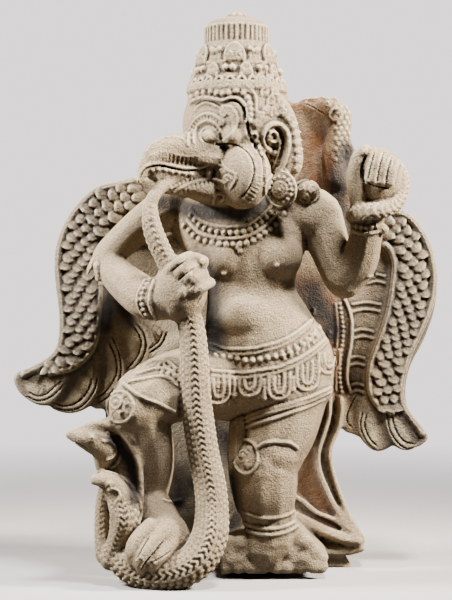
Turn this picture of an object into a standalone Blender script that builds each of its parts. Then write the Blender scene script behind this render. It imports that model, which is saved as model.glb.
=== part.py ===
"""Garuda devouring a naga: a high relief carved from one block of sandstone.

The block is laid out on a sculptor's grid. A sheet of square cells lies over the front view, and a
form is placed by the cell that it covers (across from the left, down from the top) and by how far it
stands out from the flat back, in the same cells. All sizes are shares of the height, as on a figure.
"""

import math

import bmesh
import bpy
import numpy as np
from mathutils import Matrix, Vector
from mathutils.bvhtree import BVHTree

# Height in metres, then the grain of the rough form and of the carved stone, in cells of the grid
HEIGHT = 1.10
FORM_GRAIN = 2.5
STONE_GRAIN = 1.8
MOST_TRIANGLES = 9900
# Colour and roughness of the bare stone
STONE_COLOUR = (0.52, 0.45, 0.35, 1.0)
STONE_ROUGHNESS = 0.9

# The grid, in cells
CELLS_HIGH = 550.0
CELL = HEIGHT / CELLS_HIGH
MIDDLE = 226.0
LEVEL = 300.0
EYE = 269.5
BACK = 92.0
PLANE = 50.0
VIEW = 1700.0

# Depths of the big layers, in cells out from the back
SLAB_OUT = 36.0
FIELD_OUT = 42.0


def shrink(out):
    """How much smaller a thing is than it looks, as it stands nearer the viewer than the wings."""
    return (VIEW + PLANE - out) / VIEW


def seen(across, down, out):
    """True place of a point that shows in cell (across, down) and stands out cells off the back."""
    near = shrink(out)
    return Vector(((across - MIDDLE) * near, BACK - out, EYE + (LEVEL - down) * near)) * CELL


def smooth_line(points, steps):
    """Rows along a smooth curve through the rows of points, with steps rows to a span."""
    rows = np.array(points, float)
    padded = np.vstack([2 * rows[0] - rows[1], rows, 2 * rows[-1] - rows[-2]])
    t = np.linspace(0, 1, steps, endpoint=False)[:, None]
    spans = []
    for a, b, c, d in zip(padded, padded[1:], padded[2:], padded[3:]):
        spans.append(0.5 * (2 * b + (c - a) * t + (2 * a - 5 * b + 4 * c - d) * t**2
                            + (3 * b - a - 3 * c + d) * t**3))
    return np.vstack([*spans, rows[-1:]])


def even_line(points, pitch):
    """Rows along the polyline through points, pitch apart."""
    rows = np.array(points, float)
    along = np.r_[0, np.cumsum(np.linalg.norm(np.diff(rows, axis=0), axis=1))]
    count = max(2, round(along[-1] / pitch) + 1)
    at = np.linspace(0, along[-1], count)
    return np.stack([np.interp(at, along, column) for column in rows.T], axis=1)


def finished_mesh(item):
    """What the modifiers make of an object, as a mesh of its own."""
    graph = bpy.context.evaluated_depsgraph_get()
    return bpy.data.meshes.new_from_object(item.evaluated_get(graph), depsgraph=graph)


def triangles_of(mesh):
    """(points, triangles) of a mesh, as arrays."""
    mesh.calc_loop_triangles()
    points = np.empty(len(mesh.vertices) * 3)
    faces = np.empty(len(mesh.loop_triangles) * 3, int)
    mesh.vertices.foreach_get("co", points)
    mesh.loop_triangles.foreach_get("vertices", faces)
    return points.reshape(-1, 3), faces.reshape(-1, 3)


def unit_sphere(segments, rings):
    maker = bmesh.new()
    bmesh.ops.create_uvsphere(maker, u_segments=segments, v_segments=rings, radius=1)
    mesh = bpy.data.meshes.new("sphere")
    maker.to_mesh(mesh)
    maker.free()
    shape = triangles_of(mesh)
    bpy.data.meshes.remove(mesh)
    return shape


class Clay:
    """Closed shapes laid into each other, before one skin is drawn over them."""

    def __init__(self):
        self.points = []
        self.faces = []
        self.count = 0

    def add(self, points, faces):
        self.points.append(points)
        self.faces.append(faces + self.count)
        self.count += len(points)

    def add_curve(self, curve, matrix=None):
        helper = bpy.data.objects.new("helper", curve)
        mesh = bpy.data.meshes.new_from_object(helper)
        if matrix:
            mesh.transform(matrix)
        self.add(*triangles_of(mesh))
        bpy.data.objects.remove(helper)
        bpy.data.meshes.remove(mesh)
        bpy.data.curves.remove(curve)

    def add_mesh_object(self, item):
        mesh = finished_mesh(item)
        mesh.transform(Matrix.Translation(item.location))
        self.add(*triangles_of(mesh))
        bpy.data.meshes.remove(mesh)

    def make_object(self, name):
        points = np.vstack(self.points)
        faces = np.vstack(self.faces)
        mesh = bpy.data.meshes.new(name)
        mesh.vertices.add(len(points))
        mesh.vertices.foreach_set("co", points.ravel())
        mesh.loops.add(faces.size)
        mesh.loops.foreach_set("vertex_index", faces.ravel())
        mesh.polygons.add(len(faces))
        mesh.polygons.foreach_set("loop_start", np.arange(0, faces.size, 3))
        mesh.update(calc_edges=True)
        made = bpy.data.objects.new(name, mesh)
        bpy.context.scene.collection.objects.link(made)
        return made


SPHERE = unit_sphere(20, 12)
BEAD = unit_sphere(10, 7)


def lump(clay, centre, matrix, shape=None):
    """A unit sphere put through a 3 by 3 matrix and moved to centre, in metres."""
    points, faces = shape or SPHERE
    turned = points @ np.array(matrix).T + np.array(centre)
    clay.add(turned, faces)


def ball(clay, place, radii, turn=None):
    """An ellipsoid with its radii across, out and up, in cells."""
    size = CELL * shrink(place[2])
    stretch = Matrix.Diagonal([r * size for r in radii])
    lump(clay, seen(*place), turn @ stretch if turn else stretch)


def chain(clay, stations, steps=5):
    """A soft body: ellipsoids close together through stations (across, down, out, radii...)."""
    for row in smooth_line(stations, steps):
        ball(clay, row[:3], row[3:])


def bar(clay, places, radii, sides=3):
    """A round bar through places, in metres, with round ends."""
    curve = bpy.data.curves.new("bar", "CURVE")
    curve.dimensions = "3D"
    curve.bevel_depth = 1
    curve.bevel_resolution = sides
    curve.use_fill_caps = True
    spline = curve.splines.new("POLY")
    spline.points.add(len(places) - 1)
    for point, place, radius in zip(spline.points, places, radii):
        point.co = (*place, 1)
        point.radius = radius
    clay.add_curve(curve)
    for place, radius in ((places[0], radii[0]), (places[-1], radii[-1])):
        lump(clay, place, Matrix.Diagonal([radius] * 3), BEAD)


def limb(clay, stations, steps=6):
    """A round bar through stations (across, down, out, radius)."""
    line = smooth_line(stations, steps)
    places = [seen(*row[:3]) for row in line]
    bar(clay, places, [row[3] * shrink(row[2]) * CELL for row in line])


def plate(clay, outline, back, front, edge=3.0, steps=4):
    """A flat slab with this outline, from back to front cells out, with rounded edges."""
    curve = bpy.data.curves.new("plate", "CURVE")
    curve.dimensions = "2D"
    curve.fill_mode = "BOTH"
    curve.extrude = ((front - back) / 2 - edge) * CELL
    curve.bevel_depth = edge * CELL
    curve.bevel_resolution = 1
    curve.offset = -edge * CELL
    line = smooth_line([*outline, outline[0]], steps)[:-1]
    spline = curve.splines.new("POLY")
    spline.use_cyclic_u = True
    spline.points.add(len(line) - 1)
    for point, (across, down) in zip(spline.points, line):
        place = seen(across, down, front)
        point.co = (place.x, place.z, 0, 1)
    middle = (BACK - (front + back) / 2) * CELL
    clay.add_curve(curve, Matrix.Translation((0, middle, 0)) @ Matrix.Rotation(math.pi / 2, 4, "X"))


# Outlines on the grid, clockwise from the top
LEFT_FIELD = [(190, 176), (138, 178), (117, 181), (97, 189), (78, 203), (64, 224), (57, 243), (55, 262),
              (55, 283), (59, 305), (60, 327), (56, 349), (41, 365), (18, 372), (40, 378), (60, 376),
              (80, 366), (95, 350), (103, 330), (104, 300), (102, 276), (120, 250), (190, 230)]
RIGHT_FIELD = [(372, 203), (399, 208), (416, 219), (429, 239), (436, 262), (438, 286),
               (434, 314), (424, 341), (411, 366), (406, 391), (410, 412), (426, 437), (412, 428),
               (392, 415), (368, 403), (364, 380), (371, 350), (381, 320), (387, 290), (389, 262),
               (380, 245), (360, 225)]
SLAB = [(205, 66), (275, 66), (290, 102), (306, 98), (322, 97), (337, 101), (347, 111), (352, 126),
        (353, 145), (385, 215), (392, 300), (380, 400), (346, 420), (335, 443), (331, 468),
        (345, 506), (364, 536), (363, 545), (341, 548), (337, 580), (118, 580), (112, 500),
        (104, 400), (100, 300), (120, 200), (170, 178), (192, 130)]
# The plain blades below each wing, outermost first: outline and how far out it lies
LEFT_BLADES = [([(46, 366), (18, 372), (13, 380), (19, 393), (34, 404), (48, 406), (58, 399), (64, 387),
                 (66, 372)], 44),
               ([(62, 366), (66, 384), (60, 398), (50, 407), (62, 413), (76, 413), (90, 406), (98, 393),
                 (99, 376), (96, 352)], 41),
               ([(92, 340), (99, 376), (98, 394), (92, 408), (106, 408), (119, 397), (127, 381),
                 (124, 362), (112, 340), (102, 326)], 38),
               ([(98, 300), (120, 345), (127, 365), (124, 386), (136, 379), (147, 365), (152, 350),
                 (148, 333), (136, 314), (118, 296)], 35),
               ([(118, 290), (138, 312), (151, 334), (150, 356), (161, 346), (167, 330), (167, 310),
                 (150, 292)], 32)]
RIGHT_BLADES = [([(390, 404), (404, 412), (416, 426), (429, 435), (424, 444), (409, 451), (396, 447),
                  (388, 433), (384, 412)], 44),
                ([(362, 398), (384, 408), (390, 428), (394, 444), (379, 452), (367, 446), (360, 433),
                  (357, 414)], 41),
                ([(345, 394), (362, 398), (360, 416), (364, 437), (352, 434), (344, 430), (343, 410)], 38)]


def slab_and_wings(clay):
    plate(clay, SLAB, 0, SLAB_OUT)
    plate(clay, LEFT_FIELD, 0, FIELD_OUT)
    plate(clay, RIGHT_FIELD, 0, FIELD_OUT)
    for outline, front in LEFT_BLADES + RIGHT_BLADES:
        plate(clay, outline, 0, front, edge=2.0)


def torso(clay):
    chain(clay, [(238, 212, 84, 76, 38, 22), (243, 238, 86, 67, 46, 28), (246, 264, 86, 54, 46, 24),
                 (251, 290, 86, 45, 42, 24), (259, 320, 88, 54, 46, 26), (268, 354, 88, 66, 51, 30),
                 (267, 390, 90, 67, 51, 28)])
    ball(clay, (224, 258, 104), (28, 32, 27))
    ball(clay, (274, 256, 103), (29, 33, 28))
    ball(clay, (250, 318, 108), (34, 30, 30))
    limb(clay, [(238, 170, 92, 36), (236, 205, 92, 40)])


def right_arm(clay):
    """The arm at the viewer's left, with the fist that grips the naga."""
    limb(clay, [(170, 208, 86, 24), (140, 226, 96, 18), (112, 252, 106, 16), (106, 263, 110, 15.5)])
    limb(clay, [(107, 264, 110, 15.5), (124, 282, 126, 19), (146, 298, 144, 22), (164, 298, 152, 23)])
    ball(clay, (181, 289, 158), (27, 24, 34))
    for step in range(4):
        across, down = 170 + 7.0 * step, 270 + 9 * step
        limb(clay, [(across, down, 172, 5.8), (across + 10, down - 9, 178, 6.0),
                    (across + 20, down - 14, 168, 5.4)])
    limb(clay, [(180, 270, 152, 8), (193, 260, 162, 7.5), (203, 262, 168, 6.8)])


def left_arm(clay):
    """The raised arm at the viewer's right, with its fist round the second naga's tail."""
    ball(clay, (310, 216, 86), (30, 32, 29))
    limb(clay, [(318, 216, 90, 25), (330, 248, 94, 21), (341, 276, 100, 19), (345, 281, 104, 18.5)])
    limb(clay, [(345, 280, 104, 18.5), (359, 262, 112, 19), (366, 236, 122, 17), (370, 212, 128, 16)])
    ball(clay, (378, 178, 134), (24, 18, 31))
    for step in range(4):
        across, down = 374 + 7.6 * step, 152 + 3.6 * step
        limb(clay, [(across, down, 138, 5.2), (across - 2, down + 4, 153, 4.6),
                    (across - 6, 181 + step, 154, 4.4)])
    limb(clay, [(360, 204, 136, 10), (354, 180, 144, 8), (358, 158, 150, 7.2), (366, 150, 152, 6)])
    limb(clay, TAIL)


def legs(clay):
    limb(clay, [(284, 385, 90, 47), (279, 425, 98, 40), (273, 450, 104, 34)])
    ball(clay, (274, 454, 118), (25, 20, 22))
    limb(clay, [(265, 466, 106, 33.5), (266, 488, 104, 32), (267, 506, 100, 29), (270, 520, 98, 26.5),
                (271, 535, 98, 28)])
    limb(clay, [(228, 380, 95, 42), (182, 385, 118, 37), (147, 398, 142, 33), (136, 407, 148, 29)])
    limb(clay, [(138, 410, 144, 29), (147, 446, 130, 27), (149, 472, 121, 25), (149, 500, 118, 18)])


NAGA = [(192, 177, 138, 5), (170, 182, 150, 6), (157, 192, 158, 6.5), (150, 206, 161, 7.4),
        (151, 222, 162, 9.5), (156, 239, 162, 10.5), (165, 258, 161, 10.5), (180, 288, 158, 12.5),
        (191, 326, 156, 13.5), (194, 350, 155, 14.4), (195, 380, 154, 15.4), (197, 410, 152, 16.2),
        (203, 450, 150, 16), (210, 485, 150, 16.5), (212, 510, 152, 17.2), (209, 538, 158, 19),
        (194, 562, 162, 19.5), (164, 573.5, 160, 18.5), (134, 568, 150, 17), (112, 552, 140, 12)]
TAIL = [(352, 217, 118, 7), (358, 213, 140, 8.3), (370, 212, 149, 8.7), (384, 210, 147, 8.7),
        (396, 203, 139, 8.3), (402, 189, 130, 7.4), (402, 175, 126, 6.2), (398, 167, 123, 5)]
UPPER_NECK = [(336, 178, 44, 13), (333, 156, 46, 12), (338, 138, 46, 12), (340, 122, 45, 12.5),
              (335, 112, 44, 13), (320, 106, 42, 9), (309, 103, 40, 5)]
# Three necks at the lower left, each with its head at the end
HIND_NECK = [(104, 556, 128, 9), (102, 530, 122, 8), (103, 504, 120, 8), (108, 480, 126, 8)]
LOWER_NECK = [(110, 560, 144, 11), (115, 546, 147, 10), (120, 534, 149, 12), (125, 519, 151, 15.5),
              (123, 504, 151, 14.5), (117, 491, 153, 12), (109, 483, 155, 10.5), (101, 480.5, 157, 8.3),
              (95, 480, 157, 6.3)]
UPPER_HEAD = [(106, 478, 138, 8), (103, 463, 146, 9), (103, 447, 152, 14), (93, 441, 158, 13.5),
              (80, 437, 162, 9.7), (70, 434.5, 162, 5.5)]
HOOD = [(90, 429), (104, 423), (118, 427), (130, 438), (139, 455), (142.5, 474), (143, 500), (142, 520),
        (122, 536), (108, 510), (106, 480), (98, 460)]
HOOD_RIM = [(84, 428, 160, 4.5), (100, 424.5, 158, 5), (116, 428.5, 156, 5), (128, 439, 156, 4.6),
            (136, 454, 155, 4.1), (140, 472, 153, 3.7), (141, 490, 151, 3.4), (141, 506, 149, 3.2)]
TOES = [[(150, 526, 160, 8.5), (136, 540, 170, 7.5), (131, 552, 173, 7), (132, 563, 171, 5.5)],
        [(160, 534, 164, 8.5), (148, 549, 175, 7.5), (140, 561, 177, 6.5), (141, 570, 173, 5)],
        [(170, 544, 164, 8.5), (160, 556, 175, 7.2), (152, 566, 175, 6)]]


def right_foot(clay):
    limb(clay, [(150, 498, 124, 17), (161, 524, 136, 22), (164, 538, 144, 23)])
    ball(clay, (166, 537, 146), (24, 26, 25))
    for toe in TOES:
        limb(clay, toe)


def nagas(clay):
    for route in (NAGA, UPPER_NECK, HIND_NECK, LOWER_NECK, UPPER_HEAD):
        limb(clay, route)
    plate(clay, HOOD, 50, 149)
    limb(clay, HOOD_RIM)


ROCK = [(221, 577), (220, 550), (238, 536), (262, 533), (284, 530), (298, 526), (314, 542), (329, 557),
        (326, 562), (310, 566), (295, 568), (283, 570), (272, 573), (260, 570), (250, 573), (236, 572)]
ROCK_OUT = 112


def base(clay):
    plate(clay, ROCK, 20, ROCK_OUT, edge=7)
    limb(clay, [(272, 530, 98, 28), (266, 545, 98, 26)])
    # the rough front of the rock
    for across in range(230, 322, 9):
        for row, down in enumerate(range(541, 571, 8)):
            wave = math.sin(across * 1.9 + row * 2.6)
            place = (across + 3 * wave, down - 2 * math.cos(across * 0.7), ROCK_OUT - 5 + 2.5 * wave)
            if down > 523 + (across - 290) * 0.95:
                ball(clay, place, (8.5 + wave, 6.5 - wave, 8))
    for fold, out, radius in zip(SASH_FOLDS, (42, 40, 42, 42, 38), (2.8, 2.8, 2.8, 6, 4.5)):
        limb(clay, [(*place, out, radius) for place in fold])


SASH_FOLDS = [[(330, 397), (329, 416), (324, 434), (320, 446), (318, 458), (320, 472), (326, 487), (334, 504),
               (342, 517), (350, 529), (359, 536)],
              [(341, 399), (341, 414), (338, 430), (333, 441), (330, 451), (331, 463), (335, 479), (340, 493),
               (346, 509), (352, 522), (360, 533)],
              [(294, 496), (304, 502), (316, 512), (328, 517), (337, 521), (347, 528)],
              [(296, 517), (310, 524), (322, 530), (334, 535), (346, 539), (357, 540)],
              [(318, 551), (336, 552), (350, 551), (361, 548)]]
HEAD_AXIS = (234.0, 128.0, 112.0)
HEAD_TURN = math.radians(62)


def on_head(forward, side, up):
    """Grid place of a point of the head: forward along the beak, side to the viewer's side, up."""
    across, down, out = HEAD_AXIS
    return (across - math.sin(HEAD_TURN) * forward + math.cos(HEAD_TURN) * side, down - up,
            out + math.cos(HEAD_TURN) * forward + math.sin(HEAD_TURN) * side)


def head_ball(clay, place, radii):
    """An ellipsoid on the head, with its radii forward, to the side and up."""
    ball(clay, on_head(*place), radii, Matrix.Rotation(math.pi / 2 + HEAD_TURN, 3, "Z"))


def head_chain(clay, stations, steps=5):
    for row in smooth_line(stations, steps):
        head_ball(clay, row[:3], row[3:])


def head(clay):
    head_ball(clay, (0, 0, 4), (55, 43, 52))
    # upper beak, hooked down at the tip, and the lower one
    head_chain(clay, [(30, 0, -26, 24, 30, 24), (52, 0, -22, 18, 24, 18), (70, 0, -22, 16, 18, 15),
                      (86, 0, -26, 12, 13, 13), (97, 0, -34, 8, 9, 11), (104, 0, -44, 5, 6, 9),
                      (108, 0, -53, 3, 3, 5)])
    head_chain(clay, [(12, 0, -66, 24, 28, 16), (34, 0, -63, 16, 22, 12), (52, 0, -61, 12, 16, 8),
                      (66, 0, -62, 8, 10, 5), (76, 0, -64, 5, 5, 3)])
    # inside of the mouth, set back behind the lips
    head_chain(clay, [(20, 0, -50, 16, 20, 14), (50, 0, -45, 16, 13, 15), (74, 0, -44, 14, 7, 14),
                      (92, 0, -44, 8, 4, 10)])
    for side in (-1, 1):
        head_ball(clay, (6, 30 * side, -48), (30, 24, 34))
        head_ball(clay, (20, 33 * side, -8), (10, 8, 10))
        # hair from the brow down behind the ear
        head_chain(clay, [(-18, 34 * side, 26, 16, 12, 16), (-30, 34 * side, 2, 22, 14, 26),
                          (-40, 34 * side, -30, 19, 15, 26)])
        head_ball(clay, (-30, 46 * side, -61), (17, 8, 17))
    # a bunch of locks on the near shoulder
    ball(clay, (308, 192, 108), (12, 15, 11))


CROWN_AXIS = 236.7
CROWN_OUT = 104.0
# Profile of the crown, top to bottom: cells down at its outline, radius
CROWN = [(15, 0), (15.5, 6), (18, 10), (20, 18), (22.5, 26), (26, 30.5), (45, 31), (46.5, 33), (50, 35),
         (66, 39.5), (68, 41), (79, 43), (81, 45.5), (91, 48.5), (100, 49.5), (115, 49), (122, 30), (123, 0)]


def on_crown(height, turn, radius):
    """World place on the crown: height in cells above the ground, turn from the front, radius."""
    near = shrink(CROWN_OUT)
    return Vector(((CROWN_AXIS - MIDDLE + math.sin(turn) * radius) * near,
                   BACK - CROWN_OUT - math.cos(turn) * radius * near, height)) * CELL


def crown_height(down, radius=0.0):
    """Height that shows in cell down, on the crown's front at this radius, or at its outline."""
    return EYE + (LEVEL - down) * shrink(CROWN_OUT + radius)


def crown_radius(height):
    heights = [crown_height(down) for down, _ in reversed(CROWN)]
    return float(np.interp(height, heights, [radius for _, radius in reversed(CROWN)]))


def crown(clay):
    profile = bpy.data.meshes.new("profile")
    places = [(radius * shrink(CROWN_OUT) * CELL, 0, crown_height(down) * CELL) for down, radius in CROWN]
    profile.from_pydata(places, [(n, n + 1) for n in range(len(places) - 1)], [])
    turned = bpy.data.objects.new("turned", profile)
    bpy.context.scene.collection.objects.link(turned)
    turned.location = on_crown(0, 0, 0)
    spin = turned.modifiers.new("spin", "SCREW")
    spin.steps = 48
    spin.render_steps = 48
    spin.use_merge_vertices = True
    spin.merge_threshold = 0.0001
    clay.add_mesh_object(turned)
    bpy.data.objects.remove(turned)


def clear_scene():
    for item in list(bpy.data.objects):
        bpy.data.objects.remove(item)


def skin(clay, name, grain, passes):
    """One closed surface over all that the clay holds, as fine as the grain, in cells."""
    made = clay.make_object(name)
    fuse = made.modifiers.new("fuse", "REMESH")
    fuse.mode = "VOXEL"
    fuse.voxel_size = grain * CELL
    soften = made.modifiers.new("soften", "SMOOTH")
    soften.iterations = passes
    return made


def make_form():
    """The rough figure, before any carving."""
    clay = Clay()
    for form in (slab_and_wings, torso, right_arm, left_arm, legs, right_foot, nagas, base, head, crown):
        form(clay)
    return skin(clay, "form", FORM_GRAIN, 3)


class Surface:
    """The rough figure as its carver sees it, from the front."""

    def __init__(self, item):
        self.tree = BVHTree.FromObject(item, bpy.context.evaluated_depsgraph_get())
        self.eye = Vector((0, BACK - PLANE - VIEW, EYE)) * CELL

    def at(self, across, down):
        """Place and normal of the surface that shows in this cell."""
        place, normal, _, _ = self.tree.ray_cast(self.eye, seen(across, down, 0) - self.eye)
        if place is None:
            place, normal, _, _ = self.tree.find_nearest(seen(across, down, PLANE))
        return place, normal


def dome(clay, place, normal, along, half_wide, half_long, high, shape=None):
    """A low dome on the surface, its length along the given direction. Sizes in cells."""
    along = (along - normal * along.dot(normal)).normalized()
    axes = Matrix((along.cross(normal), along, normal)).transposed()
    lump(clay, place, axes @ Matrix.Diagonal((half_wide * CELL, half_long * CELL, high * CELL)), shape)


def rib(clay, surface, route, radius, lift=0.0, pitch=4.0):
    """A raised line over the surface."""
    places = []
    for across, down in even_line(smooth_line(route, 5), pitch):
        place, normal = surface.at(across, down)
        places.append(place + normal * lift * CELL)
    bar(clay, places, [radius * CELL] * len(places), sides=1)


def studs(clay, surface, route, pitch, radius, high=None):
    """A row of beads over the surface."""
    for across, down in even_line(smooth_line(route, 5), pitch):
        place, normal = surface.at(across, down)
        dome(clay, place, normal, Vector((0, 0.1, 1)), radius, radius, high or radius, BEAD)


def arc(centre, radii, start, end, count=7):
    """Rows along an arc on the grid. Angles in degrees, from the right, anticlockwise as seen."""
    turns = np.radians(np.linspace(start, end, count))
    return [(centre[0] + radii[0] * math.cos(turn), centre[1] - radii[1] * math.sin(turn)) for turn in turns]


def spiral(centre, radius, start, turns, count=14):
    """Rows along a spiral that closes on its centre."""
    rows = []
    for t in np.linspace(0, 1, count):
        turn = math.radians(start) + math.tau * turns * t
        reach = radius * (1 - 0.85 * t)
        rows.append((centre[0] + reach * math.cos(turn), centre[1] - reach * math.sin(turn)))
    return rows


# Wing lines: the outer rim, the scale field's outer and inner edges, and the inner rim
LEFT_RIM = [(136, 181), (118, 185), (98, 191), (80, 206), (67, 226), (60, 245), (58, 263), (59, 283),
            (62, 305), (63, 328), (59, 350), (45, 364), (24, 374)]
LEFT_OUTER = [(134, 184), (100, 193), (84, 208), (70, 228), (64, 262), (67, 305), (67, 329), (64, 348),
              (44, 368)]
LEFT_INNER = [(142, 202), (125, 212), (108, 226), (97, 240), (93, 275), (94, 317), (91, 338), (70, 364),
              (50, 371)]
LEFT_INNER_RIM = [(97, 266), (100, 285), (99, 312), (96, 338), (87, 356), (70, 369), (50, 373)]
RIGHT_RIM = [(394, 211), (410, 219), (423, 236), (431, 257), (434, 282), (430, 306), (420, 331), (409, 354),
             (402, 378), (401, 398), (407, 414), (422, 433)]
RIGHT_OUTER = [(390, 217), (406, 224), (418, 240), (424, 259), (427, 286), (423, 311), (415, 334), (400, 375),
               (398, 404)]
RIGHT_INNER = [(378, 232), (391, 239), (400, 254), (400, 273), (396, 298), (391, 323), (382, 347), (375, 379),
               (383, 405)]
RIGHT_INNER_RIM = [(381, 241), (391, 251), (395, 266), (393, 286), (390, 307), (384, 328), (377, 347),
                   (371, 364), (369, 381), (372, 396), (380, 407), (392, 412)]


def feather_rows(clay, surface, outer, inner, pitch):
    """Overlapping scales in rows from a wing's outer edge to its inner one."""
    outer_line = even_line(smooth_line(outer, 8), pitch)
    inner_line = smooth_line(inner, 8)
    inner_length = np.linalg.norm(np.diff(inner_line, axis=0), axis=1).sum()
    inner_line = even_line(inner_line, inner_length / (len(outer_line) - 1))
    for row, (start, end) in enumerate(zip(outer_line, inner_line)):
        width = np.linalg.norm(end - start)
        fit = max(1, round(width / pitch))
        heading = outer_line[min(row + 1, len(outer_line) - 1)] - outer_line[max(row - 1, 0)]
        shift = 0.5 if row % 2 else 0.0
        for n in range(fit + (row % 2)):
            across, down = start + (end - start) * min(max((n + 0.5 - shift) / fit, 0.06), 0.94)
            place, normal = surface.at(across, down)
            along = Vector((heading[0], 0, -heading[1])).normalized()
            lifted = (normal * 0.96 + along * -0.28).normalized()
            dome(clay, place, lifted, along, width / fit * 0.52, pitch * 0.64, 3.6, BEAD)


def wings(clay, surface):
    for rim_line, radius in ((LEFT_RIM, 4.2), (RIGHT_RIM, 4.2), (LEFT_INNER_RIM, 3.8),
                             (RIGHT_INNER_RIM, 3.8)):
        rib(clay, surface, rim_line, radius, 0.5, pitch=6)
    feather_rows(clay, surface, LEFT_OUTER, LEFT_INNER, 12.5)
    feather_rows(clay, surface, RIGHT_OUTER, RIGHT_INNER, 12.5)
    for outline, _ in LEFT_BLADES + RIGHT_BLADES:
        middle = np.mean(outline, axis=0)
        half = len(outline) // 4
        edge = [middle + (np.array(point) - middle) * 0.84 for point in outline[half:-1]]
        rib(clay, surface, edge, 1.7, 0.3)
    # cross bands of the short feathers by the raised arm, and the beaded ribbon beside them
    for left, right, down in ((368, 385, 279), (353, 380, 307), (353, 373, 334), (349, 364, 361),
                              (350, 364, 388)):
        for step in (-3, 3):
            rib(clay, surface, [(left, down + step + 1), ((left + right) / 2, down + step - 1),
                                (right, down + step + 1)], 1.5, 0.5)
    rib(clay, surface, [(345, 302), (351, 316), (353, 329), (349, 345), (347, 361), (345, 380), (350, 391)],
        2.2, 1.0)
    studs(clay, surface, [(339, 306), (343, 318), (346, 331), (343, 345), (340, 361), (339, 380), (341, 392)],
          6.0, 2.2)


def crown_leaf(clay, turn, down, half_wide, high, lift):
    """A pointed leaf that stands on the crown, its foot in cell down at the front."""
    foot = crown_height(down, 40)
    for share in np.linspace(0.1, 0.97, 9):
        height = foot + high * share
        spread = half_wide * (1 - share) ** 0.7 * (0.75 + 0.9 * share)
        place = on_crown(height, turn, crown_radius(height) + lift * (0.4 + 0.3 * share))
        outward = Vector((math.sin(turn), -math.cos(turn), 0.1)).normalized()
        dome(clay, place, outward, Vector((0, 0, 1)), spread, high * 0.13, lift, BEAD)


def crown_ring(clay, down, radius, thick):
    """A plain ring round the crown, in cell down at the front."""
    height = crown_height(down, radius)
    places = [on_crown(height, turn, radius) for turn in np.linspace(0, math.tau, 41)]
    bar(clay, places, [thick * CELL] * len(places), sides=1)


def crown_bead(clay, turn, down, radius, lift=1.0):
    height = crown_height(down, 38)
    place = on_crown(height, turn, crown_radius(height) + lift)
    lump(clay, place, Matrix.Diagonal([radius * CELL] * 3), BEAD)


def crown_carving(clay):
    for down, radius, thick in ((23.0, 30.5, 1.7), (42.0, 31.5, 2.0), (62.8, 40, 1.6), (87.5, 49, 1.8)):
        crown_ring(clay, down, radius, thick)
    for n in range(FLUTES):
        turn = math.tau * n / FLUTES
        places = [on_crown(crown_height(down, 31), turn, 31) for down in (25, 32, 39.5)]
        bar(clay, places, [2.3 * CELL] * 3, sides=1)
    for n in range(6):
        turn = math.tau * n / 6 - 0.05
        crown_leaf(clay, turn, 61.5, 12, 18, 3.5)
        for side in (-1, 1):
            for down, step in ((47, 0.36), (55, 0.44)):
                crown_bead(clay, turn + side * step, down, 3.2)
    for n in range(8):
        turn = math.tau * n / 8 + 0.19
        crown_leaf(clay, turn, 76, 8, 13, 3.0)
        for step in (0.31, 0.48):
            crown_bead(clay, turn + step, 68.5, 3.0)
    for n in range(30):
        turn = math.tau * n / 30
        outward = Vector((math.sin(turn), -math.cos(turn), 0))
        place = on_crown(crown_height(81, 46), turn, 46.5)
        dome(clay, place, outward, Vector((0, 0, 1)), 4.3, 5.0, 3.0, BEAD)
    # a small open flower on the top
    for n in range(8):
        turn = math.tau * (n + 0.5) / 8
        place = on_crown(crown_height(17), turn, 8)
        lump(clay, place, Matrix.Diagonal([4.2 * CELL, 4.2 * CELL, 3.4 * CELL]), BEAD)
    lump(clay, on_crown(crown_height(15), 0, 0), Matrix.Diagonal([4.5 * CELL, 4.5 * CELL, 3.5 * CELL]), BEAD)


FLUTES = 28
# Lines of the head on the grid
ARCH = [(187, 97), (198, 90), (209, 86), (221, 89), (231, 86), (241, 88), (252, 96), (256, 108), (257, 124)]
ARCH_BEADS = [(191, 98), (199, 94), (210, 92), (222, 95), (232, 92), (241, 93), (248, 101), (251, 112),
              (252, 124)]
LOWER_ARCH = [(190, 106), (198, 101), (207, 99), (215, 101), (222, 104), (230, 99), (239, 101), (244, 113),
              (246, 134), (246, 146)]
CHEEK = [(207, 148), (220, 146), (234, 146), (245, 150), (252, 159), (255, 171), (253, 183), (247, 193),
         (238, 200), (228, 203), (220, 199), (218, 193), (223, 191), (225, 196)]
LIP = [(139, 178), (146, 169), (159, 164), (172, 166), (186, 168), (205, 166), (212, 160)]
CURL_BORDER = [(256, 124), (262, 113), (271, 109), (281, 112), (290, 120), (295, 131), (297, 143), (298, 156),
               (297, 169)]


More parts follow.
